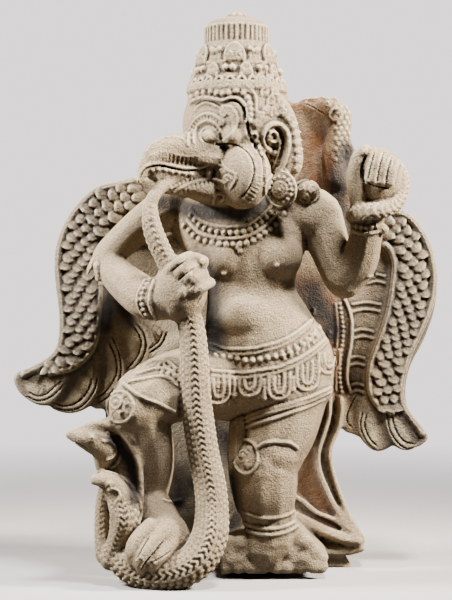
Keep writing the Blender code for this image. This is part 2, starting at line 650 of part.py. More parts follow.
def face(clay, surface):
    place, normal = surface.at(209.5, 136.5)
    dome(clay, place, normal, Vector((0, 0, 1)), 8.5, 8.5, 8.0)
    rib(clay, surface, arc((209, 137), (12, 13), -20, 200, 9), 1.5, 0.6)
    rib(clay, surface, arc((207, 137), (17, 19), 20, 190, 9), 1.5, 0.8)
    rib(clay, surface, arc((207, 139), (21, 26), 45, 185, 9), 1.8, 1.0)
    # the diadem's double arch, with beads between its two rims
    rib(clay, surface, ARCH, 1.8, 0.8)
    studs(clay, surface, ARCH_BEADS, 6.0, 2.6)
    rib(clay, surface, LOWER_ARCH, 1.8, 0.8)
    # the curl behind the eye
    for inset in (0, 5):
        rib(clay, surface, [(221 + inset, 142), (229 + inset * 0.8, 131), (233 + inset * 0.8, 119),
                            (231 + inset, 108 - inset * 0.4), (225, 105 - inset * 0.5), (220 - inset, 110),
                            (222, 115)], 1.8, 0.8)
    rib(clay, surface, CHEEK, 1.6, 0.2)
    # crest of the beak, lips, teeth and the corner of the mouth
    rib(clay, surface, [(186, 141), (176, 136), (164, 139), (154, 145), (147, 154)], 1.6, 0.2)
    rib(clay, surface, LIP, 2.0, 0.5)
    rib(clay, surface, [(143, 163), (152, 157), (166, 153), (180, 156), (196, 157), (214, 154)], 1.3, 0.2)
    studs(clay, surface, [(151, 171), (164, 171), (178, 173), (198, 172)], 4.6, 2.0, 2.6)
    rib(clay, surface, [(169, 191), (179, 186), (193, 181), (205, 179), (216, 182), (224, 188)], 1.6, 0.4)
    place, normal = surface.at(208.5, 172)
    dome(clay, place, normal, Vector((0, 0, 1)), 4, 7, 3.5)
    rib(clay, surface, spiral((224, 173), 8, 200, -1.2), 1.5, 0.3)
    rib(clay, surface, [(218, 160), (226, 163), (234, 171), (234, 181), (228, 187)], 1.5, 0.3)


def ear(clay, surface):
    rib(clay, surface, [(276, 153), (268, 149), (264, 140), (265, 129), (273, 124), (283, 129), (287, 141),
                        (286, 156), (280, 166)], 3.0, 1.0)
    rib(clay, surface, [(269, 131), (275, 131), (278, 138), (275, 144), (271, 141)], 2.2, 1.2)
    for across, down in even_line(smooth_line(CURL_BORDER, 6), 9.5):
        place, normal = surface.at(across, down)
        dome(clay, place, normal, Vector((0, 0, 1)), 4.6, 4.6, 3.4, BEAD)
    for across, down in even_line([(254, 138), (258, 152), (267, 162), (275, 169)], 8):
        place, normal = surface.at(across, down)
        dome(clay, place, normal, Vector((0.5, 0, -1)), 3.6, 5.0, 2.6, BEAD)
    # the round pendant under the ear
    centre = (281, 188)
    rib(clay, surface, arc(centre, (15, 15), 0, 360, 16), 1.8, 0.4)
    studs(clay, surface, arc(centre, (11, 11), 0, 360, 13), 6.0, 2.2)
    rib(clay, surface, arc(centre, (6.5, 6.5), 0, 360, 10), 1.3, 0.4)
    place, normal = surface.at(*centre)
    dome(clay, place, normal, Vector((0, 0, 1)), 4.0, 4.0, 3.5)
    # locks on the shoulder
    for across, down, radius, start in ((303, 187, 5.5, 90), (313, 190, 5.5, 20), (306, 198, 5.5, 200)):
        rib(clay, surface, spiral((across, down), radius, start, 1.1, 8), 1.5, 0.5)
    # leaf clusters up the side of the crown
    for across, down in ((262, 70), (270, 76), (264, 84), (274, 88), (268, 96), (281, 100), (274, 104),
                         (286, 111)):
        place, normal = surface.at(across, down)
        dome(clay, place, normal, Vector((-0.6, 0, 1)), 4.4, 6.0, 3.2, BEAD)


def jewels(clay, surface):
    """Necklace, bracelets and anklets."""
    inner = [(191, 215), (199, 225), (208, 230), (223, 233), (238, 233), (250, 230), (262, 222), (270, 213)]
    outer = [(184, 226), (198, 239), (212, 243), (229, 245), (247, 243), (262, 235), (275, 225), (284, 214)]
    middle = [((a + c) / 2, (b + d) / 2) for (a, b), (c, d) in zip(inner, outer)]
    studs(clay, surface, inner, 6.6, 2.8)
    rib(clay, surface, middle, 1.8, 0.6)
    rib(clay, surface, [(across, down - 6) for across, down in inner], 1.6, 0.4)
    studs(clay, surface, outer, 6.8, 3.0)
    for across, down, radius in ((238, 247, 3.6), (240, 251, 2.6), (224, 273, 2.4), (277, 265, 2.4)):
        place, normal = surface.at(across, down)
        dome(clay, place, normal, Vector((0, 0, 1)), radius, radius, 2.6, BEAD)
    studs(clay, surface, [(150, 280), (143, 292), (142, 304), (149, 319)], 5.6, 2.4)
    rib(clay, surface, [(145, 281), (138, 294), (138, 306), (144, 316)], 1.8, 0.5)
    rib(clay, surface, [(154, 281), (150, 294), (150, 306), (156, 320)], 1.8, 0.5)
    studs(clay, surface, [(352, 226), (366, 228), (381, 225)], 5.0, 2.4)
    rib(clay, surface, [(349, 231), (366, 234), (382, 231)], 1.7, 0.5)
    for down in (513, 524, 530):
        rib(clay, surface, [(244, down - 1), (258, down + 4), (272, down + 5), (286, down + 2),
                            (297, down - 4)], 1.9, 0.4)
    rib(clay, surface, [(163, 500), (170, 502), (181, 500)], 1.8, 0.4)


BELT_TOP = [(210, 345), (226, 349), (250, 349), (266, 346), (284, 340), (300, 330), (311, 320), (314, 310)]
BELT_BEADS = [(215, 356), (232, 358), (250, 361), (268, 358), (284, 355), (297, 349), (309, 340), (319, 329)]
BELT_LINE = [(212, 371), (242, 373), (258, 371), (276, 368), (292, 362), (308, 353), (322, 342), (330, 333)]
HEM_LINE = [(240, 425), (250, 416), (273, 408), (304, 399), (330, 388)]
HEM = [(233, 435), (250, 426), (273, 419), (304, 408), (324, 399)]
# Garlands under the belt: centre, top and bottom of each loop
GARLANDS = [(218, 376, 403), (250, 376, 396), (279, 374, 399), (307, 362, 390), (329, 350, 373)]


def medallions(clay, surface):
    for centre, reach in (((121, 408), 14), ((239, 457), 18.5)):
        rib(clay, surface, arc(centre, (reach * 0.8, reach), 0, 360, 14), 1.9, 0.4)
        rib(clay, surface, spiral(centre, reach * 0.6, 30, 1.3, 10), 1.6, 0.4)


def belt(clay, surface):
    rib(clay, surface, BELT_TOP, 2.0, 0.6)
    rib(clay, surface, [(across - 1, down + 5) for across, down in BELT_TOP], 1.5, 0.3)
    studs(clay, surface, BELT_BEADS, 7.4, 3.0)
    rib(clay, surface, BELT_LINE, 1.9, 0.5)
    rib(clay, surface, [(across, down + 5) for across, down in BELT_LINE], 1.5, 0.3)
    for across, top, bottom in GARLANDS:
        for spread in (10.5, 5.0):
            low = bottom - (10.5 - spread)
            rib(clay, surface, [(across - spread, top + 4), (across - spread, low - 8),
                                (across - spread * 0.6, low - 1), (across, low),
                                (across + spread * 0.6, low - 2), (across + spread, low - 9),
                                (across + spread, top)], 1.7, 0.4)
    for (first, top, _), (second, _, bottom) in zip(GARLANDS, GARLANDS[1:]):
        middle = (first + second) / 2
        rib(clay, surface, [(middle, top + 4), (middle, bottom - 4)], 1.6, 0.5)
        place, normal = surface.at(middle, bottom - 1)
        dome(clay, place, normal, Vector((0, 0, 1)), 2.8, 3.6, 2.6, BEAD)
    for line in (HEM_LINE, [(across, down + 4) for across, down in HEM_LINE], HEM):
        rib(clay, surface, line, 1.9, 0.4)
    # folds of the cloth on the raised thigh
    for lower in (0, 8, 16):
        rib(clay, surface, [(145 - lower, 366 + lower), (156, 361 + lower), (168, 362 + lower),
                            (176, 369 + lower)], 1.9, 0.4)
    rib(clay, surface, [(124, 384), (134, 392), (146, 399), (160, 404), (174, 412)], 1.9, 0.5)
    medallions(clay, surface)
    rib(clay, surface, [(257, 448), (263, 444), (271, 442), (281, 442), (290, 443), (297, 448)], 2.2, 0.5)


def along_tube(stations, pitch):
    """Rows along a limb: place, heading, front, side and radius, the last in metres."""
    line = even_line(smooth_line(stations, 8), pitch)
    places = [seen(*row[:3]) for row in line]
    rows = []
    for n, row in enumerate(line):
        heading = (places[min(n + 1, len(line) - 1)] - places[max(n - 1, 0)]).normalized()
        front = Vector((0, -1, 0)) - heading * -heading.y
        front.normalize()
        rows.append((places[n], heading, front, heading.cross(front), row[3] * shrink(row[2]) * CELL))
    return rows


def scaly(clay, stations, pitch, sides=(-1, 1)):
    """A naga's scales: a ridge of chevrons down its front and round scales at both sides."""
    for place, heading, front, side, radius in along_tube(stations, pitch):
        for hand in sides:
            ridge = [place + front * radius * 1.02 - heading * radius * 0.1,
                     place + (front * 0.93 + side * hand * 0.36) * radius + heading * radius * 0.22]
            bar(clay, ridge, [radius * 0.11] * 2, sides=1)
            outward = (front * 0.74 + side * hand * 0.67).normalized()
            dome(clay, place + outward * radius * 0.94, outward, heading, radius * 0.3 / CELL, pitch * 0.5,
                 radius * 0.16 / CELL, BEAD)


def naga_carving(clay, surface):
    scaly(clay, NAGA[3:], 8.5)
    scaly(clay, TAIL, 6.5)
    for centre, radius in (((92, 438), 4.2), ((109.5, 483), 3.6), ((328, 103), 3.4)):
        place, normal = surface.at(*centre)
        dome(clay, place, normal, Vector((0, 0, 1)), radius, radius, radius * 0.8, BEAD)
    rib(clay, surface, arc((107, 449), (10, 10), 110, -80, 8), 1.8, 0.6)
    rib(clay, surface, arc((113, 494), (7, 7), 110, -80, 8), 1.6, 0.6)
    rib(clay, surface, arc((335, 116), (7, 7), 0, 360, 12), 1.6, 0.6)
    studs(clay, surface, [(348, 112), (352, 124), (351, 138), (346, 150)], 6.0, 2.6)
    studs(clay, surface, [(340, 128), (341, 140), (336, 152)], 6.5, 2.8)


def carve(form):
    """The finished relief: the rough figure with everything that is carved on it."""
    surface = Surface(form)
    clay = Clay()
    clay.add_mesh_object(form)
    wings(clay, surface)
    crown_carving(clay)
    for carving in (face, ear, jewels, belt, naga_carving):
        carving(clay, surface)
    return skin(clay, "garuda_relief", STONE_GRAIN, 1)


def bake(item):
    """Turn what the modifiers make of an object into its own mesh."""
    mesh = finished_mesh(item)
    item.modifiers.clear()
    item.data = mesh


def facet(relief):
    """Keep the facets that matter to the form."""
    relief.modifiers.new("split", "TRIANGULATE")
    bake(relief)
    simplify = relief.modifiers.new("facet", "DECIMATE")
    simplify.ratio = MOST_TRIANGLES / len(relief.data.polygons)
    bake(relief)
    # close up any edge in which more than two facets meet
    maker = bmesh.new()
    maker.from_mesh(relief.data)
    while tight := [edge for edge in maker.edges if len(edge.link_faces) > 2]:
        bmesh.ops.collapse(maker, edges=tight)
    maker.to_mesh(relief.data)
    maker.free()


def level(relief):
    """Cut the foot flat at the ground, and centre the relief over it."""
    maker = bmesh.new()
    bmesh.ops.create_cube(maker, size=2 * HEIGHT)
    ground = bpy.data.meshes.new("ground")
    maker.to_mesh(ground)
    maker.free()
    block = bpy.data.objects.new("ground", ground)
    bpy.context.scene.collection.objects.link(block)
    block.location.z = -HEIGHT
    cut = relief.modifiers.new("cut", "BOOLEAN")
    cut.object = block
    cut.solver = "EXACT"
    bake(relief)
    bpy.data.objects.remove(block)
    corners = np.array([vertex.co for vertex in relief.data.vertices])
    middle = (corners.min(axis=0) + corners.max(axis=0)) / 2
    relief.data.transform(Matrix.Translation((-middle[0], -middle[1], 0)))


def finish(relief):
    """The stone's colour, its shading, and the collection that holds it."""
    stone = bpy.data.materials.new("sandstone")
    stone.use_nodes = True
    shader = stone.node_tree.nodes["Principled BSDF"]
    shader.inputs["Base Color"].default_value = STONE_COLOUR
    shader.inputs["Roughness"].default_value = STONE_ROUGHNESS
    relief.data.materials.append(stone)
    relief.data.shade_smooth()
    relief.data.set_sharp_from_angle(angle=math.radians(45))
    carving = bpy.data.collections.new("garuda_relief")
    bpy.context.scene.collection.children.link(carving)
    carving.objects.link(relief)
    bpy.context.scene.collection.objects.unlink(relief)


def main():
    clear_scene()
    form = make_form()
    relief = carve(form)
    bpy.data.objects.remove(form)
    bake(relief)
    facet(relief)
    level(relief)
    finish(relief)


main()
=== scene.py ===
"""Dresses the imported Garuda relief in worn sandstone, and sets it before the photo's camera.

The relief is carved again here, from the same grid of cells as the solid, with a finer skin and with
the small carving that the solid's facets leave out. It is cut into pieces that all stand for the one stone.
"""

import math

import bmesh
import bpy
import numpy as np
from mathutils import Matrix, Vector
from mathutils.bvhtree import BVHTree


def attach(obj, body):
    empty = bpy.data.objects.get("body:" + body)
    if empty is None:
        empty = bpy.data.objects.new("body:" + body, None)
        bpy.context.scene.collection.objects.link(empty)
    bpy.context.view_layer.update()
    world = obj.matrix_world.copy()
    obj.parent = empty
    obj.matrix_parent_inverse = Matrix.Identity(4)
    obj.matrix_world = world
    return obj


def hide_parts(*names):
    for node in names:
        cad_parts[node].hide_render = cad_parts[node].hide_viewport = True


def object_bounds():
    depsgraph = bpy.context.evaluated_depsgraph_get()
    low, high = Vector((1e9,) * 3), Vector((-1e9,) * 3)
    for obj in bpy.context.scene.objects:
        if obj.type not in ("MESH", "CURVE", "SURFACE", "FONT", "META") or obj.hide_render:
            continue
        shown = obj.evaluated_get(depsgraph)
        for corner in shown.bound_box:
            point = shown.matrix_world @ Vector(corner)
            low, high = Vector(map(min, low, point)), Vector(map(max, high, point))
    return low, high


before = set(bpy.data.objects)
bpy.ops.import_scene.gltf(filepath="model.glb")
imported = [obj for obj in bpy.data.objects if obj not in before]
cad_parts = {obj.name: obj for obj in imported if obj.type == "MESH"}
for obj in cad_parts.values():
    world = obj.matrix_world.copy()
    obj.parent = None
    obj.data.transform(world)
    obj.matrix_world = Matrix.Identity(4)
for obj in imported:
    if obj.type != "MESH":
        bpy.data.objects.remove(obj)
CAD_LOW, CAD_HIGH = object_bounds()

HEIGHT = 1.10
# The grain of the rough form and of the carved stone, in cells of the grid
FORM_GRAIN = 2.1
STONE_GRAIN = 1.1
MOST_TRIANGLES = 860000
NODE = "garuda_relief"

# The grid, in cells
CELLS_HIGH = 550.0
CELL = HEIGHT / CELLS_HIGH
MIDDLE = 226.0
LEVEL = 300.0
EYE = 269.5
BACK = 92.0
PLANE = 50.0
VIEW = 1700.0

# Depths of the big layers, in cells out from the back
SLAB_OUT = 36.0
FIELD_OUT = 42.0


def shrink(out):
    """How much smaller a thing is than it looks, as it stands nearer the viewer than the wings."""
    return (VIEW + PLANE - out) / VIEW


def seen(across, down, out):
    """True place of a point that shows in cell (across, down) and stands out cells off the back."""
    near = shrink(out)
    return Vector(((across - MIDDLE) * near, BACK - out, EYE + (LEVEL - down) * near)) * CELL


def smooth_line(points, steps):
    """Rows along a smooth curve through the rows of points, with steps rows to a span."""
    rows = np.array(points, float)
    padded = np.vstack([2 * rows[0] - rows[1], rows, 2 * rows[-1] - rows[-2]])
    t = np.linspace(0, 1, steps, endpoint=False)[:, None]
    spans = []
    for a, b, c, d in zip(padded, padded[1:], padded[2:], padded[3:]):
        spans.append(0.5 * (2 * b + (c - a) * t + (2 * a - 5 * b + 4 * c - d) * t**2
                            + (3 * b - a - 3 * c + d) * t**3))
    return np.vstack([*spans, rows[-1:]])


def even_line(points, pitch):
    """Rows along the polyline through points, pitch apart."""
    rows = np.array(points, float)
    along = np.r_[0, np.cumsum(np.linalg.norm(np.diff(rows, axis=0), axis=1))]
    count = max(2, round(along[-1] / pitch) + 1)
    at = np.linspace(0, along[-1], count)
    return np.stack([np.interp(at, along, column) for column in rows.T], axis=1)


def finished_mesh(item):
    """What the modifiers make of an object, as a mesh of its own."""
    graph = bpy.context.evaluated_depsgraph_get()
    return bpy.data.meshes.new_from_object(item.evaluated_get(graph), depsgraph=graph)


def triangles_of(mesh):
    """(points, triangles) of a mesh, as arrays."""
    mesh.calc_loop_triangles()
    points = np.empty(len(mesh.vertices) * 3)
    faces = np.empty(len(mesh.loop_triangles) * 3, int)
    mesh.vertices.foreach_get("co", points)
    mesh.loop_triangles.foreach_get("vertices", faces)
    return points.reshape(-1, 3), faces.reshape(-1, 3)


def filled_mesh(name, points, faces):
    """A mesh from arrays of points and triangles."""
    mesh = bpy.data.meshes.new(name)
    mesh.vertices.add(len(points))
    mesh.vertices.foreach_set("co", points.astype(np.float32).ravel())
    mesh.loops.add(faces.size)
    mesh.loops.foreach_set("vertex_index", faces.ravel().astype(np.int32))
    mesh.polygons.add(len(faces))
    mesh.polygons.foreach_set("loop_start", np.arange(0, faces.size, 3, dtype=np.int32))
    mesh.update(calc_edges=True)
    return mesh


def placed(name, data):
    """A new object with this data, in the scene."""
    made = bpy.data.objects.new(name, data)
    bpy.context.scene.collection.objects.link(made)
    return made


def unit_sphere(segments, rings):
    maker = bmesh.new()
    bmesh.ops.create_uvsphere(maker, u_segments=segments, v_segments=rings, radius=1)
    mesh = bpy.data.meshes.new("sphere")
    maker.to_mesh(mesh)
    maker.free()
    shape = triangles_of(mesh)
    bpy.data.meshes.remove(mesh)
    return shape


class Clay:
    """Closed shapes laid into each other, before one skin is drawn over them."""

    def __init__(self):
        self.points = []
        self.faces = []
        self.count = 0

    def add(self, points, faces):
        self.points.append(points)
        self.faces.append(faces + self.count)
        self.count += len(points)

    def add_curve(self, curve, matrix=None):
        helper = bpy.data.objects.new("helper", curve)
        mesh = bpy.data.meshes.new_from_object(helper)
        if matrix:
            mesh.transform(matrix)
        self.add(*triangles_of(mesh))
        bpy.data.objects.remove(helper)
        bpy.data.meshes.remove(mesh)
        bpy.data.curves.remove(curve)

    def add_mesh_object(self, item):
        mesh = finished_mesh(item)
        mesh.transform(Matrix.Translation(item.location))
        self.add(*triangles_of(mesh))
        bpy.data.meshes.remove(mesh)

    def make_object(self, name):
        return placed(name, filled_mesh(name, np.vstack(self.points), np.vstack(self.faces)))


SPHERE = unit_sphere(20, 12)
BEAD = unit_sphere(10, 7)


def lump(clay, centre, matrix, shape=None):
    """A unit sphere put through a 3 by 3 matrix and moved to centre, in metres."""
    points, faces = shape or SPHERE
    turned = points @ np.array(matrix).T + np.array(centre)
    clay.add(turned, faces)


def ball(clay, place, radii, turn=None):
    """An ellipsoid with its radii across, out and up, in cells."""
    size = CELL * shrink(place[2])
    stretch = Matrix.Diagonal([r * size for r in radii])
    lump(clay, seen(*place), turn @ stretch if turn else stretch)


def chain(clay, stations, steps=5):
    """A soft body: ellipsoids close together through stations (across, down, out, radii...)."""
    for row in smooth_line(stations, steps):
        ball(clay, row[:3], row[3:])


def bar(clay, places, radii, sides=3):
    """A round bar through places, in metres, with round ends."""
    curve = bpy.data.curves.new("bar", "CURVE")
    curve.dimensions = "3D"
    curve.bevel_depth = 1
    curve.bevel_resolution = sides
    curve.use_fill_caps = True
    spline = curve.splines.new("POLY")
    spline.points.add(len(places) - 1)
    for point, place, radius in zip(spline.points, places, radii):
        point.co = (*place, 1)
        point.radius = radius
    clay.add_curve(curve)
    for place, radius in ((places[0], radii[0]), (places[-1], radii[-1])):
        lump(clay, place, Matrix.Diagonal([radius] * 3), BEAD)


def limb(clay, stations, steps=6):
    """A round bar through stations (across, down, out, radius)."""
    line = smooth_line(stations, steps)
    places = [seen(*row[:3]) for row in line]
    bar(clay, places, [row[3] * shrink(row[2]) * CELL for row in line])


def plate(clay, outline, back, front, edge=3.0, steps=4):
    """A flat slab with this outline, from back to front cells out, with rounded edges."""
    curve = bpy.data.curves.new("plate", "CURVE")
    curve.dimensions = "2D"
    curve.fill_mode = "BOTH"
    curve.extrude = ((front - back) / 2 - edge) * CELL
    curve.bevel_depth = edge * CELL
    curve.bevel_resolution = 1
    curve.offset = -edge * CELL
    line = smooth_line([*outline, outline[0]], steps)[:-1]
    spline = curve.splines.new("POLY")
    spline.use_cyclic_u = True
    spline.points.add(len(line) - 1)
    for point, (across, down) in zip(spline.points, line):
        place = seen(across, down, front)
        point.co = (place.x, place.z, 0, 1)
    middle = (BACK - (front + back) / 2) * CELL
    clay.add_curve(curve, Matrix.Translation((0, middle, 0)) @ Matrix.Rotation(math.pi / 2, 4, "X"))


# Outlines on the grid, clockwise from the top
LEFT_FIELD = [(190, 176), (138, 178), (117, 181), (97, 189), (78, 203), (64, 224), (57, 243), (55, 262),
              (55, 283), (59, 305), (60, 327), (56, 349), (41, 365), (18, 372), (40, 378), (60, 376),
              (80, 366), (95, 350), (103, 330), (104, 300), (102, 276), (120, 250), (190, 230)]
RIGHT_FIELD = [(372, 203), (399, 208), (416, 219), (429, 239), (436, 262), (438, 286),
               (434, 314), (424, 341), (411, 366), (406, 391), (410, 412), (426, 437), (412, 428),
               (392, 415), (368, 403), (364, 380), (371, 350), (381, 320), (387, 290), (389, 262),
               (380, 245), (360, 225)]
SLAB = [(205, 66), (275, 66), (290, 102), (306, 98), (322, 97), (337, 101), (347, 111), (352, 126),
        (353, 145), (385, 215), (392, 300), (380, 400), (346, 420), (335, 443), (331, 468),
        (345, 506), (364, 536), (363, 545), (341, 548), (337, 580), (118, 580), (112, 500),
        (104, 400), (100, 300), (120, 200), (170, 178), (192, 130)]
# The plain blades below each wing, outermost first: outline and how far out it lies
LEFT_BLADES = [([(46, 366), (18, 372), (13, 380), (19, 393), (34, 404), (48, 406), (58, 399), (64, 387),
                 (66, 372)], 44),
               ([(62, 366), (66, 384), (60, 398), (50, 407), (62, 413), (76, 413), (90, 406), (98, 393),
                 (99, 376), (96, 352)], 41),
               ([(92, 340), (99, 376), (98, 394), (92, 408), (106, 408), (119, 397), (127, 381),
                 (124, 362), (112, 340), (102, 326)], 38),
               ([(98, 300), (120, 345), (127, 365), (124, 386), (136, 379), (147, 365), (152, 350),
                 (148, 333), (136, 314), (118, 296)], 35),
               ([(118, 290), (138, 312), (151, 334), (150, 356), (161, 346), (167, 330), (167, 310),
                 (150, 292)], 32)]
RIGHT_BLADES = [([(390, 404), (404, 412), (416, 426), (429, 435), (424, 444), (409, 451), (396, 447),
                  (388, 433), (384, 412)], 44),
                ([(362, 398), (384, 408), (390, 428), (394, 444), (379, 452), (367, 446), (360, 433),
                  (357, 414)], 41),
                ([(345, 394), (362, 398), (360, 416), (364, 437), (352, 434), (344, 430), (343, 410)], 38)]


def slab_and_wings(clay):
    plate(clay, SLAB, 0, SLAB_OUT)
    plate(clay, LEFT_FIELD, 0, FIELD_OUT)
    plate(clay, RIGHT_FIELD, 0, FIELD_OUT)
    for outline, front in LEFT_BLADES + RIGHT_BLADES:
        plate(clay, outline, 0, front, edge=2.0)


def torso(clay):
    chain(clay, [(238, 212, 84, 76, 38, 22), (243, 238, 86, 67, 46, 28), (246, 264, 86, 54, 46, 24),
                 (251, 290, 86, 45, 42, 24), (259, 320, 88, 54, 46, 26), (268, 354, 88, 66, 51, 30),
                 (267, 390, 90, 67, 51, 28)])
    ball(clay, (224, 258, 104), (28, 32, 27))
    ball(clay, (274, 256, 103), (29, 33, 28))
    ball(clay, (250, 318, 108), (34, 30, 30))
    limb(clay, [(238, 170, 92, 36), (236, 205, 92, 40)])


def right_arm(clay):
    """The arm at the viewer's left, with the fist that grips the naga."""
    limb(clay, [(170, 208, 86, 24), (140, 226, 96, 18), (112, 252, 106, 16), (106, 263, 110, 15.5)])
    limb(clay, [(107, 264, 110, 15.5), (124, 282, 126, 19), (146, 298, 144, 22), (164, 298, 152, 23)])
    ball(clay, (181, 289, 158), (27, 24, 34))
    for step in range(4):
        across, down = 170 + 7.0 * step, 270 + 9 * step
        limb(clay, [(across, down, 172, 5.8), (across + 10, down - 9, 178, 6.0),
                    (across + 20, down - 14, 168, 5.4)])
    limb(clay, [(180, 270, 152, 8), (193, 260, 162, 7.5), (203, 262, 168, 6.8)])


def left_arm(clay):
    """The raised arm at the viewer's right, with its fist round the second naga's tail."""
    ball(clay, (310, 216, 86), (30, 32, 29))
    limb(clay, [(318, 216, 90, 25), (330, 248, 94, 21), (341, 276, 100, 19), (345, 281, 104, 18.5)])
    limb(clay, [(345, 280, 104, 18.5), (359, 262, 112, 19), (366, 236, 122, 17), (370, 212, 128, 16)])
    ball(clay, (378, 178, 134), (24, 18, 31))
    for step in range(4):
        across, down = 374 + 7.6 * step, 152 + 3.6 * step
        limb(clay, [(across, down, 138, 5.2), (across - 2, down + 4, 153, 4.6),
                    (across - 6, 181 + step, 154, 4.4)])
    limb(clay, [(360, 204, 136, 10), (354, 180, 144, 8), (358, 158, 150, 7.2), (366, 150, 152, 6)])
    limb(clay, TAIL)


def legs(clay):
    limb(clay, [(284, 385, 90, 47), (279, 425, 98, 40), (273, 450, 104, 34)])
    ball(clay, (274, 454, 118), (25, 20, 22))
    limb(clay, [(265, 466, 106, 33.5), (266, 488, 104, 32), (267, 506, 100, 29), (270, 520, 98, 26.5),
                (271, 535, 98, 28)])
    limb(clay, [(228, 380, 95, 42), (182, 385, 118, 37), (147, 398, 142, 33), (136, 407, 148, 29)])
    limb(clay, [(138, 410, 144, 29), (147, 446, 130, 27), (149, 472, 121, 25), (149, 500, 118, 18)])


NAGA = [(192, 177, 138, 5), (170, 182, 150, 6), (157, 192, 158, 6.5), (150, 206, 161, 7.4),
        (151, 222, 162, 9.5), (156, 239, 162, 10.5), (165, 258, 161, 10.5), (180, 288, 158, 12.5),
        (191, 326, 156, 13.5), (194, 350, 155, 14.4), (195, 380, 154, 15.4), (197, 410, 152, 16.2),
        (203, 450, 150, 16), (210, 485, 150, 16.5), (212, 510, 152, 17.2), (209, 538, 158, 19),
        (194, 562, 162, 19.5), (164, 573.5, 160, 18.5), (134, 568, 150, 17), (112, 552, 140, 12)]
TAIL = [(352, 217, 118, 7), (358, 213, 140, 8.3), (370, 212, 149, 8.7), (384, 210, 147, 8.7),
        (396, 203, 139, 8.3), (402, 189, 130, 7.4), (402, 175, 126, 6.2), (398, 167, 123, 5)]
UPPER_NECK = [(336, 178, 44, 13), (333, 156, 46, 12), (338, 138, 46, 12), (340, 122, 45, 12.5),
              (335, 112, 44, 13), (320, 106, 42, 9), (309, 103, 40, 5)]
# Three necks at the lower left, each with its head at the end
HIND_NECK = [(104, 556, 128, 9), (102, 530, 122, 8), (103, 504, 120, 8), (108, 480, 126, 8)]
LOWER_NECK = [(110, 560, 144, 11), (115, 546, 147, 10), (120, 534, 149, 12), (125, 519, 151, 15.5),
              (123, 504, 151, 14.5), (117, 491, 153, 12), (109, 483, 155, 10.5), (101, 480.5, 157, 8.3),
              (95, 480, 157, 6.3)]
UPPER_HEAD = [(106, 478, 138, 8), (103, 463, 146, 9), (103, 447, 152, 14), (93, 441, 158, 13.5),
              (80, 437, 162, 9.7), (70, 434.5, 162, 5.5)]
HOOD = [(90, 429), (104, 423), (118, 427), (130, 438), (139, 455), (142.5, 474), (143, 500), (142, 520),
        (122, 536), (108, 510), (106, 480), (98, 460)]
HOOD_RIM = [(84, 428, 160, 4.5), (100, 424.5, 158, 5), (116, 428.5, 156, 5), (128, 439, 156, 4.6),
            (136, 454, 155, 4.1), (140, 472, 153, 3.7), (141, 490, 151, 3.4), (141, 506, 149, 3.2)]
TOES = [[(150, 526, 160, 8.5), (136, 540, 170, 7.5), (131, 552, 173, 7), (132, 563, 171, 5.5)],
        [(160, 534, 164, 8.5), (148, 549, 175, 7.5), (140, 561, 177, 6.5), (141, 570, 173, 5)],
        [(170, 544, 164, 8.5), (160, 556, 175, 7.2), (152, 566, 175, 6)]]


def right_foot(clay):
    limb(clay, [(150, 498, 124, 17), (161, 524, 136, 22), (164, 538, 144, 23)])
    ball(clay, (166, 537, 146), (24, 26, 25))
    for toe in TOES:
        limb(clay, toe)


def nagas(clay):
    for route in (NAGA, UPPER_NECK, HIND_NECK, LOWER_NECK, UPPER_HEAD):
        limb(clay, route)
    plate(clay, HOOD, 50, 149)
    limb(clay, HOOD_RIM)


ROCK = [(221, 577), (220, 550), (238, 536), (262, 533), (284, 530), (298, 526), (314, 542), (329, 557),
        (326, 562), (310, 566), (295, 568), (283, 570), (272, 573), (260, 570), (250, 573), (236, 572)]
ROCK_OUT = 112


def base(clay):
    plate(clay, ROCK, 20, ROCK_OUT, edge=7)
    limb(clay, [(272, 530, 98, 28), (266, 545, 98, 26)])
    # the rough front of the rock
    for across in range(230, 322, 9):
        for row, down in enumerate(range(541, 571, 8)):
            wave = math.sin(across * 1.9 + row * 2.6)
            place = (across + 3 * wave, down - 2 * math.cos(across * 0.7), ROCK_OUT - 5 + 2.5 * wave)
            if down > 523 + (across - 290) * 0.95:
                ball(clay, place, (8.5 + wave, 6.5 - wave, 8))
    for fold, out, radius in zip(SASH_FOLDS, (42, 40, 42, 42, 38), (2.8, 2.8, 2.8, 6, 4.5)):
        limb(clay, [(*place, out, radius) for place in fold])


SASH_FOLDS = [[(330, 397), (329, 416), (324, 434), (320, 446), (318, 458), (320, 472), (326, 487), (334, 504),
               (342, 517), (350, 529), (359, 536)],
              [(341, 399), (341, 414), (338, 430), (333, 441), (330, 451), (331, 463), (335, 479), (340, 493),
               (346, 509), (352, 522), (360, 533)],
              [(294, 496), (304, 502), (316, 512), (328, 517), (337, 521), (347, 528)],
              [(296, 517), (310, 524), (322, 530), (334, 535), (346, 539), (357, 540)],
              [(318, 551), (336, 552), (350, 551), (361, 548)]]
HEAD_AXIS = (234.0, 128.0, 112.0)
HEAD_TURN = math.radians(62)


def on_head(forward, side, up):
    """Grid place of a point of the head: forward along the beak, side to the viewer's side, up."""
    across, down, out = HEAD_AXIS
    return (across - math.sin(HEAD_TURN) * forward + math.cos(HEAD_TURN) * side, down - up,
            out + math.cos(HEAD_TURN) * forward + math.sin(HEAD_TURN) * side)


def head_ball(clay, place, radii):
    """An ellipsoid on the head, with its radii forward, to the side and up."""
    ball(clay, on_head(*place), radii, Matrix.Rotation(math.pi / 2 + HEAD_TURN, 3, "Z"))


def head_chain(clay, stations, steps=5):
    for row in smooth_line(stations, steps):
        head_ball(clay, row[:3], row[3:])


